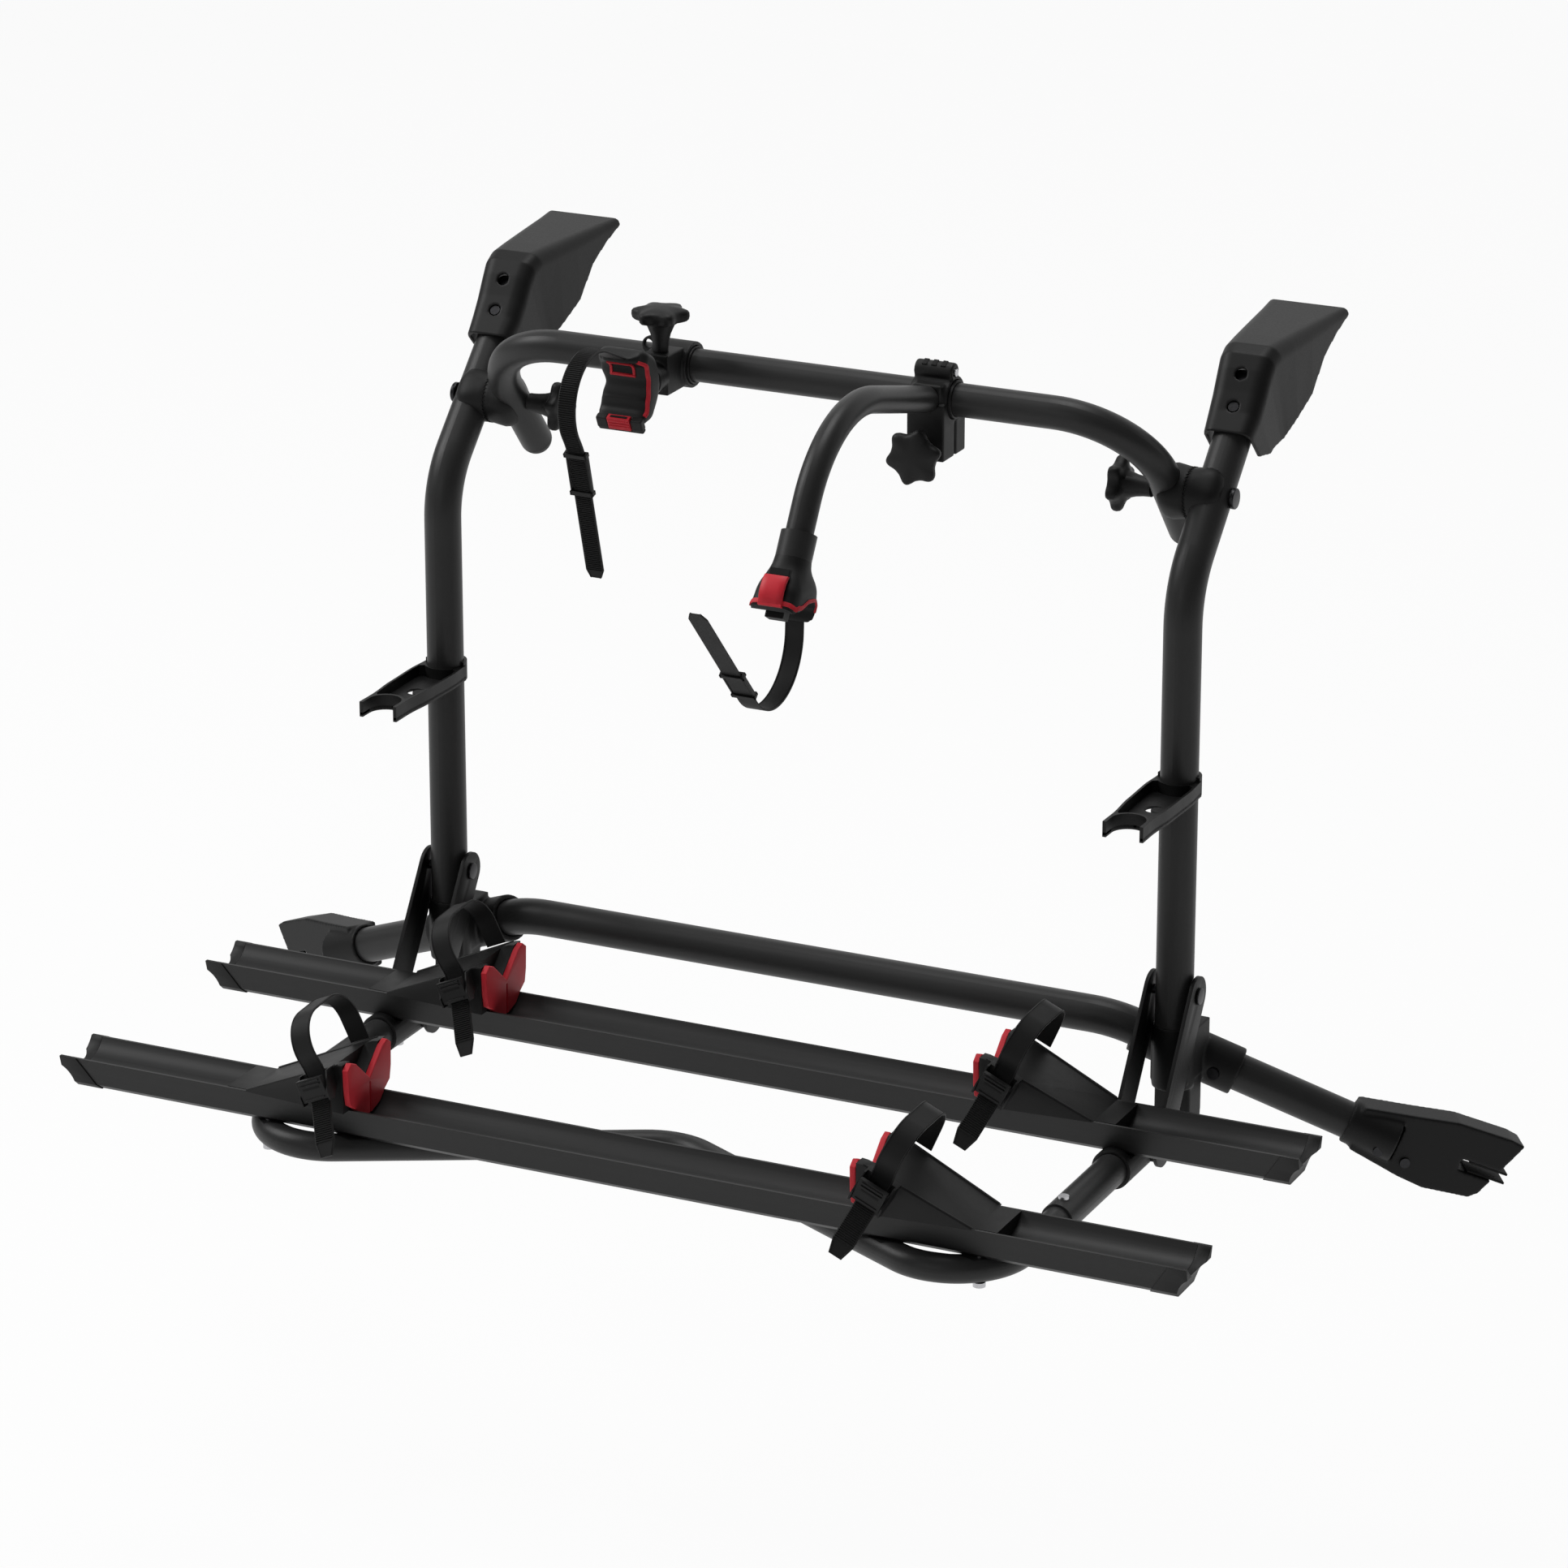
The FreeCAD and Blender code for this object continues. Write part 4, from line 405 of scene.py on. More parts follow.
def piece_of(name, meshes, node, material, stands_for=None, round_mm=0.0, smooth_below=40):
    """One object of several meshes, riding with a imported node's body and perhaps standing for nodes."""
    whole = bmesh.new()
    for mesh in meshes:
        part = bpy.data.meshes.new(name)
        mesh.to_mesh(part)
        mesh.free()
        whole.from_mesh(part)
        bpy.data.meshes.remove(part)
    piece = bpy.data.objects.new(name, bpy.data.meshes.new(name))
    whole.to_mesh(piece.data)
    whole.free()
    bpy.context.scene.collection.objects.link(piece)
    piece.data.materials.append(material)
    piece.data.shade_smooth()
    piece.data.set_sharp_from_angle(angle=math.radians(smooth_below))
    if round_mm:
        bevel = piece.modifiers.new("rounding", "BEVEL")
        bevel.width = round_mm * MM
        bevel.segments = 2
        bevel.limit_method = "ANGLE"
        bevel.angle_limit = math.radians(smooth_below)
        bevel.harden_normals = True
    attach(piece, frame["nodes"][node]["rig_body"])
    if stands_for:
        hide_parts(*stands_for)


def between(table, at):
    """A value read from pairs of place and value, eased from one pair to the next."""
    if at <= table[0][0]:
        return table[0][1]
    for (low, first), (high, second) in zip(table, table[1:]):
        if at <= high:
            share = (at - low) / (high - low)
            return first + (second - first) * share * share * (3 - 2 * share)
    return table[-1][1]


# the uprights' distance from the middle and their depth, and the bow's height, in millimetres
UPRIGHT_X, UPRIGHT_Y, BOW_Z = 429, -305, -44.4
SHORT_X, LONG_X = -144, 152  # the two holders' places along the bow
print("mesh helpers ready")

# %% [markdown]
# ## Star knobs
#
# Each hand knob is one nylon moulding: a six-lobed head, slightly domed, whose back runs down in a
# cone to the stem. Its outline is a circle whose radius rises at each lobe; raising the cosine to a
# power keeps the lobes narrow and the finger hollows wide, as on the real knob. Towards the stem the
# outline is mixed into a plain circle.

# %% Star knobs
LOBES = 6
LOBE_TURN = math.radians(15)
LOBE_POWER = 1.5
HOLLOW, PLAIN = 0.80, 0.86  # shares of the radius: in a finger hollow, and of the plain circle
NECK_SHARE, NECK_DOWN = 0.56, 17  # the cone's start: its share of the outline, and how far down it is
KNOB_POINTS = 96


def star_knob(back, axis, across, thick, stem_across, stem_long, dome):
    """A knob with the back of its head at a point, its head along the axis and its stem behind."""
    radius, stem = across / 2, stem_across / 2
    # share of the outline, height, and how round the ring is
    head = [(0.02, thick + dome, 1), (0.35, thick + dome * 0.86, 0.6), (0.64, thick + dome * 0.5, 0.2),
            (0.84, thick - 0.4, 0), (0.94, thick - 1.6, 0), (0.99, thick - 3.6, 0), (1.0, thick - 7, 0),
            (0.97, thick - 10.5, 0), (0.90, thick - 12.5, 0), (0.80, thick - 13.6, 0.15),
            (0.68, thick - 14.6, 0.5), (NECK_SHARE, thick - NECK_DOWN, 0.9)]
    rings = []
    for share, height, roundness in head:
        ring = []
        for a in turns(KNOB_POINTS):
            lobe = HOLLOW + (1 - HOLLOW) * ((1 + math.cos(LOBES * (a - LOBE_TURN))) / 2) ** LOBE_POWER
            reach = radius * share * (lobe + (PLAIN - lobe) * roundness)
            ring.append(Vector((math.cos(a) * reach, math.sin(a) * reach, height)))
        rings.append(ring)
    neck, neck_radius = thick - NECK_DOWN, radius * NECK_SHARE * PLAIN
    for share in (0.35, 0.65, 0.85, 1.0):
        # the cone eases into the stem
        reach = stem + (neck_radius - stem) * (1 - share) ** 2.2
        rings.append(oval(Z * (neck - (neck + stem_long) * share), X * reach, Y * reach, KNOB_POINTS))
    turn = Z.rotation_difference(axis)
    return ringed([[Vector(back) + turn @ point for point in ring] for ring in rings])


TILT_Y, TILT_Z = -227.67, -135.58  # the tilt clamps' bolts
TILT_KNOB_X = 340
# the short holder's stud stands ahead of the bow, and the long holder's lies below it
SHORT_STUD_Y, LONG_STUD_Z = UPRIGHT_Y - 42, BOW_Z - 49
STUD_RADIUS, STUD_POINTS = 4, 24
for side, s in (("right", 1), ("left", -1)):
    knob = star_knob((s * TILT_KNOB_X, TILT_Y, TILT_Z), Vector((-s, 0, 0)), across=59, thick=22,
                     stem_across=20, stem_long=21.5, dome=2.5)
    piece_of(f"clamp_knob_{side}_star", [knob], f"clamp_knob_{side}", nylon, [f"clamp_knob_{side}"])
knob = star_knob((SHORT_X, SHORT_STUD_Y, BOW_Z + 50), Z, across=62, thick=19.5,
                 stem_across=16, stem_long=26.6, dome=2.5)
stud = ringed([oval((SHORT_X, SHORT_STUD_Y, z), X * STUD_RADIUS, Y * STUD_RADIUS, STUD_POINTS)
               for z in (BOW_Z - 15, BOW_Z + 26)])
piece_of("short_knob_star", [knob, stud], "short_knob", nylon, ["short_knob"])
knob = star_knob((LONG_X, UPRIGHT_Y - 44, LONG_STUD_Z), -Y, across=62, thick=20,
                 stem_across=18, stem_long=13.8, dome=2)
stud = ringed([oval((LONG_X, y, LONG_STUD_Z), X * STUD_RADIUS, Z * STUD_RADIUS, STUD_POINTS)
               for y in (UPRIGHT_Y - 46, UPRIGHT_Y + 16)])
piece_of("long_knob_star", [knob, stud], "long_knob", nylon, ["long_knob"])
print("4 star knobs")

# %% [markdown]
# ## Ribbed straps
#
# The straps are moulded elastomer with fine cross ribs that a buckle's tooth drops between; the rib
# pitch read from the photograph is about 2.3 mm. A holder strap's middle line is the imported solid's
# own: straight runs and arcs. A section is carried along it, and its outer face is lifted for the first
# half of every pitch, so the ribs are real geometry and catch the light one by one.

# %% Strap helpers
RIB_PITCH = 2.3
RIB_HIGH = 1.2
RIB_FOOT, RIB_TOP = 1.2, 1.6  # how far a rib's ends stand in from the edge, half way up and on top
TIP_SHARE = 0.62  # of the full width, at a tapered end
LOOP_LONG = 5  # each loop of a keeper, along the strap


def route(start, heading, left, moves):
    """Points along straight runs ("go", length) and bends ("turn", radius, degrees) in one plane."""
    point, heading, left = Vector(start), Vector(heading).normalized(), Vector(left).normalized()
    track = [(point.copy(), heading.copy(), left.copy(), 0.0)]
    travelled = 0.0
    for move in moves:
        turning = math.radians(move[2]) if move[0] == "turn" else 0.0
        length = move[1] * abs(turning) if turning else move[1]
        count = max(1, round(length / (RIB_PITCH / 4)))
        for i in range(count):
            angle = turning / count
            point = point + (heading * math.cos(angle / 2) + left * math.sin(angle / 2)) * (length / count)
            heading, left = (heading * math.cos(angle) + left * math.sin(angle),
                             left * math.cos(angle) - heading * math.sin(angle))
            travelled += length / count
            track.append((point.copy(), heading.copy(), left.copy(), travelled))
    return track


def strap_mesh(track, wide, thick, outer, ribbed_from, tapered=9.0):
    """A strap along a track, ribbed on its outer side (+1 the track's left, -1 its right)."""
    rings = []
    total = track[-1][3]
    for point, heading, left, travelled in track:
        ribbed = ribbed_from < travelled < total - tapered
        lift = RIB_HIGH if ribbed and (travelled / RIB_PITCH) % 1.0 < 0.5 else 0.0
        half = wide / 2
        if total - travelled < tapered:
            half *= TIP_SHARE + (1 - TIP_SHARE) * (total - travelled) / tapered
        skin = thick / 2 - RIB_HIGH
        corners = [(-half, -thick / 2), (half, -thick / 2), (half, skin),
                   (half - RIB_FOOT, skin + RIB_HIGH / 2), (half - RIB_TOP, skin + lift),
                   (-half + RIB_TOP, skin + lift), (-half + RIB_FOOT, skin + RIB_HIGH / 2), (-half, skin)]
        across, out = heading.cross(left), left * outer
        rings.append([point + across * a + out * b for a, b in corners])
    return ringed(rings)


def at_distance(track, distance):
    """The track's point nearest to a distance along it, and its axes across, outward and along."""
    point, heading, left = min(track, key=lambda spot: abs(spot[3] - distance))[:3]
    return point, (heading.cross(left), left, heading)


def keeper(track, low, high, wide, thick):
    """The open frame that holds a strap's spare end: a loop at each end and two side rails."""
    parts = []
    for distance in (low, high):
        point, axes = at_distance(track, distance)
        for side in (-1, 1):
            parts.append(bar(point + axes[1] * side * (thick / 2 + 1.4), axes, (wide + 6, 2.2, LOOP_LONG)))
            parts.append(bar(point + axes[0] * side * (wide / 2 + 1.8), axes, (2.4, thick + 5, LOOP_LONG)))
    point, axes = at_distance(track, (low + high) / 2)
    for side in (-1, 1):
        parts.append(bar(point + axes[0] * side * (wide / 2 + 1.6), axes, (2, thick + 1, high - low)))
    return parts


print("rib pitch", RIB_PITCH, "mm")

# %% Holder straps
STRAP_WIDE, STRAP_THICK = 20, 3.2
SHORT_HEADING = math.radians(24)
short_ahead = (0, -math.cos(SHORT_HEADING), math.sin(SHORT_HEADING))
short_left = (0, math.sin(SHORT_HEADING), math.cos(SHORT_HEADING))
short_track = route((SHORT_X, UPRIGHT_Y - 104, BOW_Z + 24.8), short_ahead, short_left,
                    [("go", 86), ("turn", 52, -149), ("turn", 120, 19.5), ("go", 130)])
piece_of("short_strap_ribbed", [strap_mesh(short_track, STRAP_WIDE, STRAP_THICK, 1, 20)],
         "short_strap", strap_plastic, ["short_strap"], smooth_below=30)
ARM_END = Vector((LONG_X, -636.137, -98.956))
DOWN, FRONT = Vector((0, -0.515, -0.857)), Vector((0, -0.857, 0.515))


def from_arm(along, ahead, aside=0.0):
    """A point given from the end of the long holder's arm."""
    return ARM_END + DOWN * along + FRONT * ahead + X * aside


STRAP_FALL = math.radians(-93)
strap_down = Vector((0, math.cos(STRAP_FALL), math.sin(STRAP_FALL)))
long_track = route(from_arm(64.8, -28), strap_down, (0, -strap_down.z, strap_down.y),
                   [("go", 27), ("turn", 61, -134), ("go", 168)])
piece_of("long_strap_ribbed", [strap_mesh(long_track, STRAP_WIDE, STRAP_THICK, -1, 182)],
         "long_strap", strap_plastic, ["long_strap"], smooth_below=30)
piece_of("short_strap_keeper", keeper(short_track, 243, 289, STRAP_WIDE, STRAP_THICK), "short_strap",
         nylon, round_mm=0.5)
piece_of("long_strap_keeper", keeper(long_track, 181, 219, STRAP_WIDE, STRAP_THICK), "long_strap",
         nylon, round_mm=0.5)
print("short strap", round(short_track[-1][3]), "mm, long strap", round(long_track[-1][3]), "mm")

# %% [markdown]
# ## Wheel straps and chocks
#
# On each wedge a strap arches over the wheel's rim and a ribbed lever pulls it tight. The strap is drawn
# from its tail to the arch and then turned round, because its taper comes last. The arch has wider bends
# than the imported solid's, as the photograph shows it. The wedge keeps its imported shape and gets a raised
# rim along both of its long edges, where a moulding is stiffened.

# %% Wheel straps, their buckles and the chocks' rims
CHOCK_FACE, CHOCK_FOOT, CHOCK_TIP, CHOCK_HIGH = 284, 414, 437.5, 55
CHOCK_HALF, CHOCK_NARROWS = 46, 12
STRAP_REACH, TAIL_RIBBED = 320, 72
WHEEL_WIDE, WHEEL_THICK = 24, 2.8
LEVER_SIZE = (32, 24, 6)
LEVER_RIBS = [(9.0, 2.4), (5.4, 2.4), (-9.5, 1.6)]  # how far up the lever each rib is, and how high
RAIL_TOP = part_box("rail_outer")[1][2] / MM
RAIL_X = (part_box("rail_outer")[0][0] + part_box("rail_outer")[1][0]) / 2 / MM
SLOPE = math.atan2(CHOCK_HIGH, CHOCK_FOOT - CHOCK_FACE - 7)
TAIL_ANGLE = math.radians(61.6)


def wedge_top(reach):
    """The height of a wedge's slope at a distance from the rail's middle."""
    return RAIL_TOP + (CHOCK_FOOT - reach) * math.tan(SLOPE)


def wheel_track(foot, rise):
    """A wheel strap's middle line, from the far end of its arch to the tip of its tail."""
    ahead = Y * math.cos(TAIL_ANGLE) + rise * math.sin(TAIL_ANGLE)
    left = rise * math.cos(TAIL_ANGLE) - Y * math.sin(TAIL_ANGLE)
    track = route(foot - rise * 79 - Y * 88, ahead, left,
                  [("go", 70), ("turn", 40, 42), ("go", 7), ("turn", 35, -101), ("go", 29.5),
                   ("turn", 35, -90), ("go", 27)])
    total = track[-1][3]
    return [(point, -heading, left, total - travelled) for point, heading, left, travelled in track][::-1]


def chock_rim(s, rise, row_y, across):
    """The raised rim along one long edge of a wedge."""
    rings = []
    for reach in (CHOCK_FACE + 14, CHOCK_FACE + 60, CHOCK_FACE + 100, CHOCK_FOOT - 2):
        half = CHOCK_HALF - CHOCK_NARROWS * (reach - CHOCK_FACE) / (CHOCK_TIP - CHOCK_FACE)
        centre = (RAIL_X + s * reach, row_y + across * (half - 2.2), wedge_top(reach) + 0.3)
        rings.append(oval(centre, Y * 1.7, rise * 1.5, 12))
    return ringed(rings)


for row in ("outer", "inner"):
    low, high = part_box(f"rail_{row}")
    row_y = (low[1] + high[1]) / 2 / MM
    for side, s in (("right", 1), ("left", -1)):
        name = f"{row}_{side}"
        rise = Vector((s * math.sin(SLOPE), 0, math.cos(SLOPE)))
        foot = Vector((RAIL_X + s * STRAP_REACH, row_y, wedge_top(STRAP_REACH)))
        track = wheel_track(foot, rise)
        band = strap_mesh(track, WHEEL_WIDE, WHEEL_THICK, 1, track[-1][3] - TAIL_RIBBED, tapered=16.0)
        piece_of(f"wheel_strap_{name}_ribbed", [band], f"wheel_strap_{name}", strap_plastic,
                 [f"wheel_strap_{name}"], smooth_below=30)
        axes = (Vector((rise.z, 0, -rise.x)), rise, -Y)
        at = foot - rise * 12 - Y * 64
        lever = [bar(at, axes, LEVER_SIZE)]
        for up, rib_high in LEVER_RIBS:
            lever.append(bar(at + rise * up - Y * 3.2, axes, (25, 1.9, rib_high)))
        piece_of(f"wheel_buckle_{name}_ribbed", lever, f"wheel_buckle_{name}", nylon,
                 [f"wheel_buckle_{name}"], round_mm=0.5)
        # painted shade in the buckle's slot: two thin bars of the dark rubber in the lever's face
        slot = [bar(at + rise * 1.6 - Y * 3.0, axes, (21, 2.2, 0.3)),
                bar(at + rise * 1.6 - Y * 3.1, axes, (19, 1.2, 0.3))]
        piece_of(f"wheel_buckle_{name}_slot", slot, f"wheel_buckle_{name}", liner)
        rims = [chock_rim(s, rise, row_y, across) for across in (-1, 1)]
        piece_of(f"chock_{name}_rims", rims, f"chock_{name}", nylon)
print("4 wheel straps with their buckles")

# %% [markdown]
# ## The short holder's padded jaw
#
# This jaw is a soft pad moulded over a stiff shell: seen from the front it is a rounded cushion with a
# waist, hollowed to take a frame tube. It is lofted round the tube's axis. Tables give its inner and
# outer radius and half width at a few angles, and every cross-section is a rounded box between them.

# %% Short holder's jaw
CRADLE = Vector((SHORT_X, -453.6, -36.4))
# each pair is an angle from +Y towards +Z, in degrees, and a size there
INNER = [(-70, 34), (-56, 30), (-30, 23), (0, 20.5), (30, 23.5), (55, 29), (82, 30)]
OUTER = [(-70, 38), (-62, 43), (-40, 50), (0, 54), (30, 52), (60, 46), (82, 36)]
LEFT_HALF = [(-72, 25.5), (-50, 28), (-24, 27.5), (4, 24), (30, 28), (54, 28), (70, 23), (82, 15)]
RIGHT_HALF = [(-72, 25.5), (-50, 28), (0, 28.5), (54, 28), (70, 23), (82, 15)]
JAW_FROM, JAW_TO, JAW_STEPS = -70, 82, 56
DEEP_POWER, WIDE_POWER = 0.55, 0.35  # a lower power makes a boxier section
LIP_ANGLE = -65


def outward(angle):
    """The direction at an angle from the cradle's axis."""
    turn = math.radians(angle)
    return Vector((0, math.cos(turn), math.sin(turn)))


def round_axis(angle, radius, aside=0.0):
    """A point at an angle, a radius and a distance along the cradle's axis."""
    return CRADLE + X * aside + outward(angle) * radius


def jaw_ring(angle, shrink=1.0):
    """A rounded box in the plane of one angle."""
    low, high = between(INNER, angle), between(OUTER, angle)
    middle, deep = (low + high) / 2, (high - low) / 2 * shrink
    ring = []
    for turn in turns(40):
        c, d = math.cos(turn), math.sin(turn)
        half = between(RIGHT_HALF if c > 0 else LEFT_HALF, angle) * shrink
        ring.append(round_axis(angle, middle + squared(d, DEEP_POWER) * deep,
                               squared(c, WIDE_POWER) * half))
    return ring


angles = [JAW_FROM + (JAW_TO - JAW_FROM) * i / JAW_STEPS for i in range(JAW_STEPS + 1)]
rings = [jaw_ring(-71.5, 0.55), jaw_ring(-71, 0.85)] + [jaw_ring(a) for a in angles]
rings += [jaw_ring(82.8, 0.85), jaw_ring(83.4, 0.5)]
# the jaw's round foot on the clamp: depth and radius
HUB = [(-373.3, 15.5), (-374.0, 17), (-380, 17), (-381, 15.6), (-384, 15.6), (-385, 17.4),
       (-392, 18), (-399, 21), (-406, 26)]
hub = ringed([oval((SHORT_X, y, BOW_Z), X * radius, Z * radius, 48) for y, radius in HUB])
LIP_OUT, LIP_OFF = outward(LIP_ANGLE), outward(LIP_ANGLE - 90)
lip_axes = (X, LIP_OUT, LIP_OFF)
lobes = [bar(CRADLE + LIP_OUT * 39 + LIP_OFF * 3.6 + X * aside, lip_axes, (13, 14, 8.4))
         for aside in (-19.8, 19.8)]
lobes.append(bar(CRADLE + LIP_OUT * 47.2 + LIP_OFF * 3.2, lip_axes, (52, 4, 7)))
piece_of("short_head_lobes", lobes, "short_head", nylon, round_mm=1.8)
piece_of("short_head_jaw", [ringed(rings), hub], "short_head", nylon, ["short_head"], smooth_below=50)
print("short jaw:", len(rings), "sections")

# %% [markdown]
# ## Red edging and clip
#
# A soft red edging is moulded along one side of the pad and in a frame round the slot that the strap
# comes out of, and a small red clip sits between the lobes of the lower lip. The edging follows the
# pad's own tables, so it lies in the pad's skin all the way. The slot's shade is painted: a dark piece
# just under the frame, which is simpler than cutting the loft open and looks the same. The clip's slot
# is painted shade in the same way.

# %% Red edging, slot frame and clip of the short holder
SLOT_FROM, SLOT_TO, SLOT_HALF = 33, 66, 13
trims = []
rings = []
for i in range(41):
    angle = -60 + 132 * i / 40
    low, out = between(INNER, angle), outward(angle)
    middle = round_axis(angle, low + 2.2, between(RIGHT_HALF, angle) - 1.2)
    rings.append([middle - X * 1.7 - out * 1.6, middle + X * 1.9 - out * 0.6, middle + X * 2.4 + out * 1.8,
                  middle - X * 1.7 + out * 1.8])
trims.append(ringed(rings))
for angle in (SLOT_TO, SLOT_FROM):
    out = outward(angle)
    middle = round_axis(angle, between(INNER, angle) + 0.2)
    trims.append(bar(middle, (X, out, X.cross(out)), (2 * SLOT_HALF + 3, 3.4, 3.2)))
for aside in (-SLOT_HALF, SLOT_HALF):
    rings = []
    for i in range(9):
        angle = SLOT_FROM + (SLOT_TO - SLOT_FROM) * i / 8
        middle, out = round_axis(angle, between(INNER, angle) + 0.2, aside), outward(angle)
        rings.append([middle - X * 1.5 - out * 1.7, middle + X * 1.5 - out * 1.7,
                      middle + X * 1.5 + out * 1.7, middle - X * 1.5 + out * 1.7])
    trims.append(ringed(rings))
piece_of("short_head_edging", trims, "short_head_trim", red_soft, ["short_head_trim"], round_mm=0.5)
# painted shade in the strap's slot: a dark piece just under its red frame
rings = []
for i in range(9):
    angle = 34 + 31 * i / 8
    low = between(INNER, angle)
    rings.append([round_axis(angle, low - 0.3, -12), round_axis(angle, low - 0.3, 12),
                  round_axis(angle, low + 2, 12), round_axis(angle, low + 2, -12)])
piece_of("short_head_slot_shade", [ringed(rings)], "short_head_trim", liner)
clip = [bar(CRADLE + LIP_OUT * 38.2 + LIP_OFF * 4.7, lip_axes, (26, 14.6, 7))]
for out in (34.2, 37.6, 41.0):
    clip.append(bar(CRADLE + LIP_OUT * out + LIP_OFF * 8.2, lip_axes, (24, 1.6, 1.4)))
piece_of("short_buckle_ribbed", clip, "short_buckle", red_nylon, ["short_buckle"], round_mm=0.6)
# painted shade in the clip's slot: two thin bars of the dark rubber
slot = [bar(CRADLE + LIP_OUT * 30.8 + LIP_OFF * 4.7, lip_axes, (19, 0.6, 3)),
        bar(CRADLE + LIP_OUT * 30.9 + LIP_OFF * 4.7, lip_axes, (17, 0.9, 2))]
piece_of("short_buckle_slot_shade", slot, "short_buckle", liner)
print(len(trims), "lengths of edging")

# %% [markdown]
# ## The long holder's saddle
#
# The saddle grows out of the arm's round collar into a broad foot whose underside is a V notch for a
# bicycle's frame. Each level blends from the collar's circle to the foot's rounded box, and the lowest
# level follows the notch, so the side view's zigzag is in the mesh.

# %% Long holder's saddle
# each pair is a distance ahead of the arm's line, and how far down the saddle reaches there
NOTCH = [(-34, 76), (-32, 79), (-24, 65), (-16, 62), (-8, 64), (17, 80), (21, 83), (30, 80)]
SPREAD = [(0, 0), (0.12, 0.02), (0.7, 0.9), (1, 1)]  # how far each level has turned into the box
FOOT_HALF, FOOT_FRONT, FOOT_BACK = 26.5, 30, 34
COLLAR_AT, COLLAR_RADIUS = 24, 18.4
AROUND = 72
FOOT_POWER, EDGE_IN = 0.45, 1.5


def saddle_ring(level, drawn_in=0.0):
    """One level of the saddle: 0 at the collar, 1 along the notch."""
    blend = 0.35 * level + 0.65 * between(SPREAD, level)
    ring = []
    for turn in turns(AROUND):
        c, d = math.cos(turn), math.sin(turn)
        box_aside = squared(c, FOOT_POWER) * (FOOT_HALF - drawn_in)
        box_front = squared(d, FOOT_POWER) * ((FOOT_FRONT if d > 0 else FOOT_BACK) - drawn_in)
        aside = COLLAR_RADIUS * c + (box_aside - COLLAR_RADIUS * c) * blend
        front = COLLAR_RADIUS * d + (box_front - COLLAR_RADIUS * d) * blend
        along = COLLAR_AT + (between(NOTCH, front) - COLLAR_AT) * level
        ring.append(from_arm(along, front, aside))
    return ring


rings = [saddle_ring(i / 24) for i in range(24)] + [saddle_ring(level, EDGE_IN) for level in (0.985, 1.0)]
saddle = bmesh.new()
rows = joined_rows(saddle, rings)
saddle.faces.new(rows[0])
quarter, half_way = AROUND // 4, AROUND // 2
for i in range(-quarter, quarter):
    # the underside is bridged from side to side, so that it follows the notch
    corners = []
    for place in (i, i + 1, half_way - 1 - i, half_way - i):
        vert = rows[-1][place % AROUND]
        if vert not in corners:
            corners.append(vert)
    if len(corners) > 2:
        saddle.faces.new(corners)
bmesh.ops.recalc_face_normals(saddle, faces=saddle.faces)
jaw = bar(from_arm(80, 8, 0), (X, DOWN, FRONT), (20, 16, 13))
piece_of("long_head_saddle", [saddle, jaw], "long_head", nylon, ["long_head"], smooth_below=50)
print("saddle:", len(rings), "levels")

# %% [markdown]
# ## Edging and lever of the long holder
#
# A red soft edging repeats the saddle's zigzag a few millimetres above it, and a curved red lever
# closes the strap. The edging's sections lie between two levels of the saddle itself, so the two fit
# everywhere. The lever is a short loft with a rounded back and a lip to pull it by.

# %% Red edging and lever of the long holder
low_ring, high_ring = saddle_ring(0.965), saddle_ring(0.88)
notch_middle = from_arm(between(NOTCH, 0), 0)
rings = []
for i in range(-26, 27):
    # round the right side, the front and the left side
    low, high = low_ring[(quarter + i) % AROUND], high_ring[(quarter + i) % AROUND]
    middle = (low + high) / 2
    out = middle - notch_middle
    out = (out - DOWN * out.dot(DOWN)).normalized()
    rings.append([low - out * 1.5, low + out * 0.9, middle + out * 1.3, high + out * 0.9, high - out * 1.5])
piece_of("long_head_edging", [ringed(rings)], "long_head_trim", red_soft, ["long_head_trim"], smooth_below=60)
# where each section of the lever is, down and ahead of the arm's end, and its corners: ahead and aside
LEVER = [(48.5, 30.6), (52, 32.6), (58, 34.3), (65, 35), (71, 34.4), (76, 32.6), (79, 30.4)]
LEVER_BACK = [(-3.6, -13), (-0.7, -13), (0.1, -12), (0.5, -6), (0.6, 0), (0.5, 6), (0.1, 12), (-0.7, 13),
              (-3.6, 13)]
lever = ringed([[from_arm(along, ahead + more, aside) for more, aside in LEVER_BACK]
                for along, ahead in LEVER])
lip = bar(from_arm(78.6, 29.6), (X, DOWN, FRONT), (26, 3.4, 4.6))
piece_of("long_lever_curved", [lever, lip], "long_lever", red_nylon, ["long_lever"], round_mm=0.5)
# painted shade in the lever's recess: two bars of the dark rubber
recess = [bar(from_arm(45, 26.8, 2), (X, DOWN, FRONT), (22, 8, 3.4)),
          bar(from_arm(45, 27.2, 2), (X, DOWN, FRONT), (20, 6, 3.4))]
piece_of("long_head_recess_shade", recess, "long_head", liner)
print("edging:", len(rings), "stations")

# %% [markdown]
# ## Tilt clamps
#
# Each tilt clamp is a pair of cast shells round a tube, smooth as a pebble, that meet in a ring of
# teeth. A shell is lofted along the clamp's bolt: a circle at the teeth, a rounded box round the tube
# and a small flat at the end.

# %% Tilt clamps
SPLIT_X = UPRIGHT_X - 23.7  # where the two halves meet
LEANING = Vector((0, math.sqrt(0.5), math.sqrt(0.5)))  # along the upright's bent top
BOW_DROP = math.radians(49.7)
LEG = Vector((0, math.cos(BOW_DROP), -math.sin(BOW_DROP)))  # along the bow's dropped leg
BOW_SHARE = 0.88  # the bow's tube is thinner than the upright's, so its half reaches less far
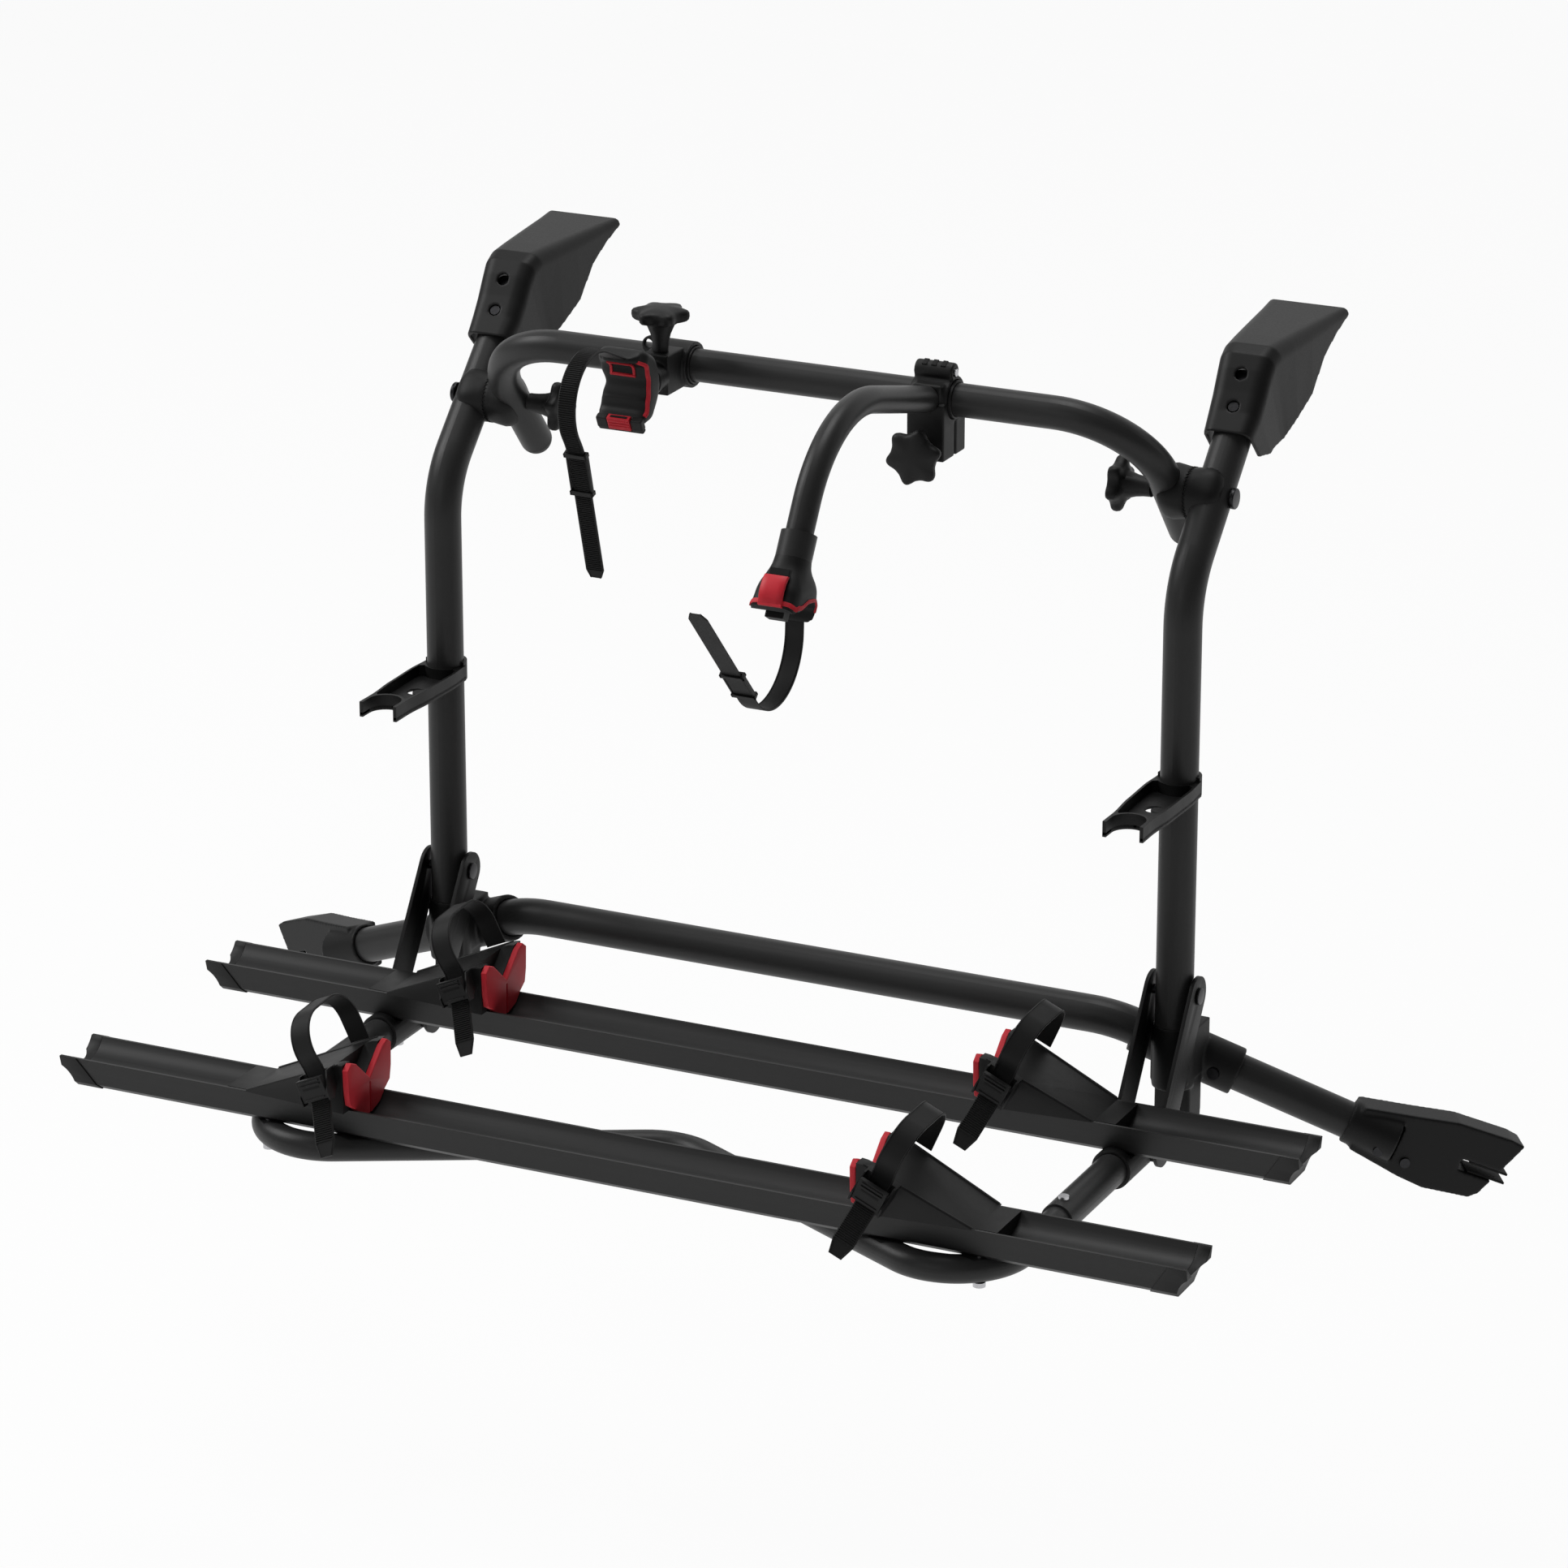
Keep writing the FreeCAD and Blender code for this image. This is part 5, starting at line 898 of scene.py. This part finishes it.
# distance from the teeth, half length along the tube, half width across it, roundness of its corners
SHELL = [(0.3, 26.6, 26.6, 1.0), (1.2, 27, 27, 1.0), (6, 27, 27, 0.95), (12, 26, 27, 0.8),
         (20, 25.5, 27, 0.66), (27, 24.5, 26, 0.66), (32, 22, 23.5, 0.7), (35.5, 18.5, 20, 0.75),
         (37, 15, 16.5, 0.8)]


def shell(s, outward_way, tube_way, stretch):
    """One cast half of a tilt clamp, from the teeth towards its tube and beyond."""
    across = tube_way.cross(X).normalized()
    rings = []
    for reach, along, wide, roundness in SHELL:
        centre = Vector((s * (SPLIT_X + outward_way * reach * stretch), TILT_Y, TILT_Z))
        rings.append([centre + tube_way * squared(math.cos(turn), roundness) * along
                      + across * squared(math.sin(turn), roundness) * wide for turn in turns(64)])
    return ringed(rings)


piece_of("clamp_outer_shells", [shell(1, 1, LEANING, 1.0), shell(-1, 1, LEANING, 1.0)],
         "clamp_outer_halves", casting_coat, ["clamp_outer_halves"], smooth_below=35)
piece_of("clamp_inner_shells", [shell(1, -1, LEG, BOW_SHARE), shell(-1, -1, LEG, BOW_SHARE)],
         "clamp_inner_halves", casting_coat, ["clamp_inner_halves"], smooth_below=35)
print(len(SHELL), "sections in each shell")

# %% [markdown]
# The real teeth are about 4.4 mm apart and show as a fine zigzag line of shade where the halves meet. A thin
# dark ribbon round the joint paints that shade: its points step to and fro by half a tooth's height.

# %% Ring of teeth
TOOTH_MM, TOOTH_HIGH, JOINT_RADIUS = 4.4, 3.4, 27.3
RIBBON_HALF, RIBBON_SUNK, RIBBON_PROUD = 0.5, -1, 0.2
teeth = round(2 * math.pi * JOINT_RADIUS / TOOTH_MM)
for side, s in (("right", 1), ("left", -1)):
    loops = []
    for aside, more in ((-RIBBON_HALF, RIBBON_SUNK), (-RIBBON_HALF, RIBBON_PROUD),
                        (RIBBON_HALF, RIBBON_PROUD), (RIBBON_HALF, RIBBON_SUNK)):
        radius = JOINT_RADIUS + more
        loops.append([(s * SPLIT_X + TOOTH_HIGH / 2 * (1 if i % 2 else -1) + aside,
                       TILT_Y + math.cos(turn) * radius, TILT_Z + math.sin(turn) * radius)
                      for i, turn in enumerate(turns(teeth * 2))])
    # painted shade in the joint between the two halves' teeth
    ribbon = bmesh.new()
    joined_rows(ribbon, loops, last_to_first=True)
    bmesh.ops.recalc_face_normals(ribbon, faces=ribbon.faces)
    piece_of(f"clamp_teeth_shade_{side}", [ribbon], "clamp_outer_halves", liner, smooth_below=10)
print(teeth, "teeth in each ring")

# %% [markdown]
# ## Tube rests
#
# Each rest is one moulding clipped round an upright: a shallow boat with a floor, a thin wall round it,
# two prongs that spring over the folded arm and a crescent hole to drain it. Floor and wall are flat
# outlines with holes, filled and then raised, as they would be drawn for a moulding tool.

# %% Tube rests
REST_Z, ARM_Y, HOLE_Y = -438, -442, -372
REST_FAR, REST_NEAR = -457, -303
SIDE = [(REST_FAR, 22.3), (-430, 22), (-385, 25), (-335, 26), (REST_NEAR, 24)]  # depth and half width
COLLAR_IN, COLLAR_OUT, ARM_IN, WALL = 20.1, 23.4, 18.3, 2.8
FLOOR_UP, WALL_UP, COLLAR_UP = (5, 8), (3, 20), (3, 24)  # the lower and upper face of each, above the foot


def arc(centre_y, radius, first, last, count=20):
    """Points of an arc round a tube's centre, with angles from +X in degrees."""
    steps = [math.radians(first + (last - first) * i / (count - 1)) for i in range(count)]
    return [(radius * math.cos(a), centre_y + radius * math.sin(a)) for a in steps]


def raised(outlines, centre_x, low, high):
    """A flat outline, with any holes in it, filled and raised from one height to another."""
    mesh = bmesh.new()
    for outline in outlines:
        loop = [mesh.verts.new(Vector((centre_x + x, y, REST_Z + low)) * MM) for x, y in outline]
        for near, far in zip(loop, loop[1:] + loop[:1]):
            mesh.edges.new((near, far))
    bmesh.ops.triangle_fill(mesh, edges=mesh.edges, use_beauty=True)
    grown = bmesh.ops.extrude_face_region(mesh, geom=mesh.faces[:])
    tops = [v for v in grown["geom"] if isinstance(v, bmesh.types.BMVert)]
    bmesh.ops.translate(mesh, verts=tops, vec=Z * (high - low) * MM)
    bmesh.ops.recalc_face_normals(mesh, faces=mesh.faces)
    return mesh


side_ys = [REST_FAR + (REST_NEAR - REST_FAR) * i / 16 for i in range(17)]
right = [(between(SIDE, y), y) for y in side_ys]
left = [(-x, y) for x, y in reversed(right)]
prongs = [(-ARM_IN, REST_FAR)] + arc(ARM_Y, ARM_IN, 180, 0) + [(ARM_IN, REST_FAR)]
boat = right + arc(UPRIGHT_Y, COLLAR_IN, 5, -185) + left + prongs
inner_right = [(between(SIDE, y) - WALL, y) for y in [-424 + 100 * i / 10 for i in range(11)]]
inner_left = [(-x, y) for x, y in reversed(inner_right)]
basin = inner_right + arc(UPRIGHT_Y, 23.2, -42, -138) + inner_left + arc(ARM_Y, 21.4, 140, 40)
crescent = arc(HOLE_Y, 10, 50, 310) + [(x + 4, y) for x, y in arc(HOLE_Y, 7.6, 300, 60)]
collar = arc(UPRIGHT_Y, COLLAR_IN, -5, 185) + arc(UPRIGHT_Y, COLLAR_OUT, 185, -5)
rest_parts = []
for x in (UPRIGHT_X, -UPRIGHT_X):
    rest_parts += [raised([boat, crescent], x, *FLOOR_UP), raised([boat, basin], x, *WALL_UP),
                   raised([collar], x, *COLLAR_UP)]
piece_of("tube_rests_moulded", rest_parts, "tube_rests", nylon, ["tube_rests"], round_mm=0.6, smooth_below=30)
print(len(boat), "points round each rest")

# %% [markdown]
# ## Slots in the long clamp's hinge
#
# Three short slots across the hinge keep the walls of that moulding even. They are shallow, and the shade in
# them is painted: each is drawn by two thin dark bars in the surface, one a little smaller and higher than
# the other.

# %% Slots in the long clamp's hinge
pin_low, pin_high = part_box("long_clamp_pin")
pin_middle = (pin_low + pin_high) / 2 / MM
SLOT_OUT = Vector((0, -0.35, 0.94)).normalized()
SLOT_UP, SLOTS_APART = 8.8, 10.5
slot_axes = (X, X.cross(SLOT_OUT), SLOT_OUT)
slots = []
# painted shade in each slot: two bars of the dark rubber
for aside in (-SLOTS_APART, 0, SLOTS_APART):
    at = pin_middle + X * aside + SLOT_OUT * SLOT_UP
    slots.append(bar(at, slot_axes, (5.6, 9.5, 3)))
    slots.append(bar(at + SLOT_OUT * 0.1, slot_axes, (4.4, 8, 3)))
piece_of("long_clamp_slot_shades", slots, "long_clamp", liner, round_mm=0.4)
print("hinge at", [round(v) for v in pin_middle])

# %% [markdown]
# ## Floor and light
#
# A plain pale floor lies under the carrier, as far below it as a van's door leaves it, and turns up
# behind it into a backdrop. Seen straight by the camera both are plain white, and in reflections too,
# but they still take the carrier's soft shadow. Three large lamps and a dim even sky light it: the
# strongest lamp stands to the left, as the light does in the photograph.

# %% Stage
FLOOR_Z = -1.30
SHEET = 14.0
WHITE_SHARE = 0.94  # of what the camera sees of the floor, so that the rest can darken in a shadow
# the sheet from its front edge to the top of the backdrop: depth and height, in metres
PROFILE = [(-SHEET, FLOOR_Z), (6.0, FLOOR_Z), (8.0, FLOOR_Z + 0.4), (9.0, FLOOR_Z + 2.0),
           (9.2, FLOOR_Z + 12.0)]
floor_mesh = bmesh.new()
rows = [[floor_mesh.verts.new((x, y, z)) for x in (-SHEET, SHEET)] for y, z in PROFILE]
for near, far in zip(rows, rows[1:]):
    floor_mesh.faces.new((near[0], near[1], far[1], far[0]))
floor = bpy.data.objects.new("floor", bpy.data.meshes.new("floor"))
floor_mesh.to_mesh(floor.data)
floor_mesh.free()
bpy.context.scene.collection.objects.link(floor)
paper, tree, place = new_material("matt_white_paper")
matt = add(tree, "ShaderNodeBsdfDiffuse", {"Color": linear("#f4f4f4")})
glow = add(tree, "ShaderNodeEmission", {"Color": (1.0, 1.0, 1.0, 1.0), "Strength": 1.0})
ray = add(tree, "ShaderNodeLightPath")
seen = add(tree, "ShaderNodeMath", {0: ray.outputs["Is Camera Ray"], 1: ray.outputs["Is Glossy Ray"]},
           operation="MAXIMUM")
share = add(tree, "ShaderNodeMath", {0: seen.outputs[0], 1: WHITE_SHARE}, operation="MULTIPLY")
blend = add(tree, "ShaderNodeMixShader", {0: share.outputs[0], 1: matt.outputs[0], 2: glow.outputs[0]})
add(tree, "ShaderNodeOutputMaterial", {"Surface": blend.outputs[0]})
floor.data.materials.append(paper)
print("floor at", FLOOR_Z)

# %% Light
SKY = 0.12
# name, place and width in metres, and watts
LAMPS = [("key", (-4.6, -1.6, 3.4), 2.6, 185), ("top", (-0.4, 0.4, 4.8), 2.4, 125),
         ("fill", (-0.6, -6.0, 1.6), 2.4, 22)]
LAMPS_AIM = Vector((0, -0.4, -0.4))
world = bpy.data.worlds.new("sky")
bpy.context.scene.world = world
world.use_nodes = True
tree = world.node_tree
tree.nodes.clear()
ray = add(tree, "ShaderNodeLightPath")
even = add(tree, "ShaderNodeBackground", {"Color": (1.0, 1.0, 1.0, 1.0), "Strength": SKY})
white = add(tree, "ShaderNodeBackground", {"Color": (1.0, 1.0, 1.0, 1.0), "Strength": 1.0})
blend = add(tree, "ShaderNodeMixShader", {0: ray.outputs["Is Camera Ray"], 1: even.outputs[0],
                                          2: white.outputs[0]})
add(tree, "ShaderNodeOutputWorld", {"Surface": blend.outputs[0]})
for name, at, size, watts in LAMPS:
    lamp = bpy.data.objects.new(name, bpy.data.lights.new(name, "AREA"))
    lamp.data.shape = "SQUARE"
    lamp.data.size = size
    lamp.data.energy = watts
    lamp.location = at
    lamp.rotation_euler = (LAMPS_AIM - Vector(at)).to_track_quat("-Z", "Y").to_euler()
    bpy.context.scene.collection.objects.link(lamp)
bpy.context.scene.view_settings.view_transform = "Standard"
print(len(LAMPS), "lamps")
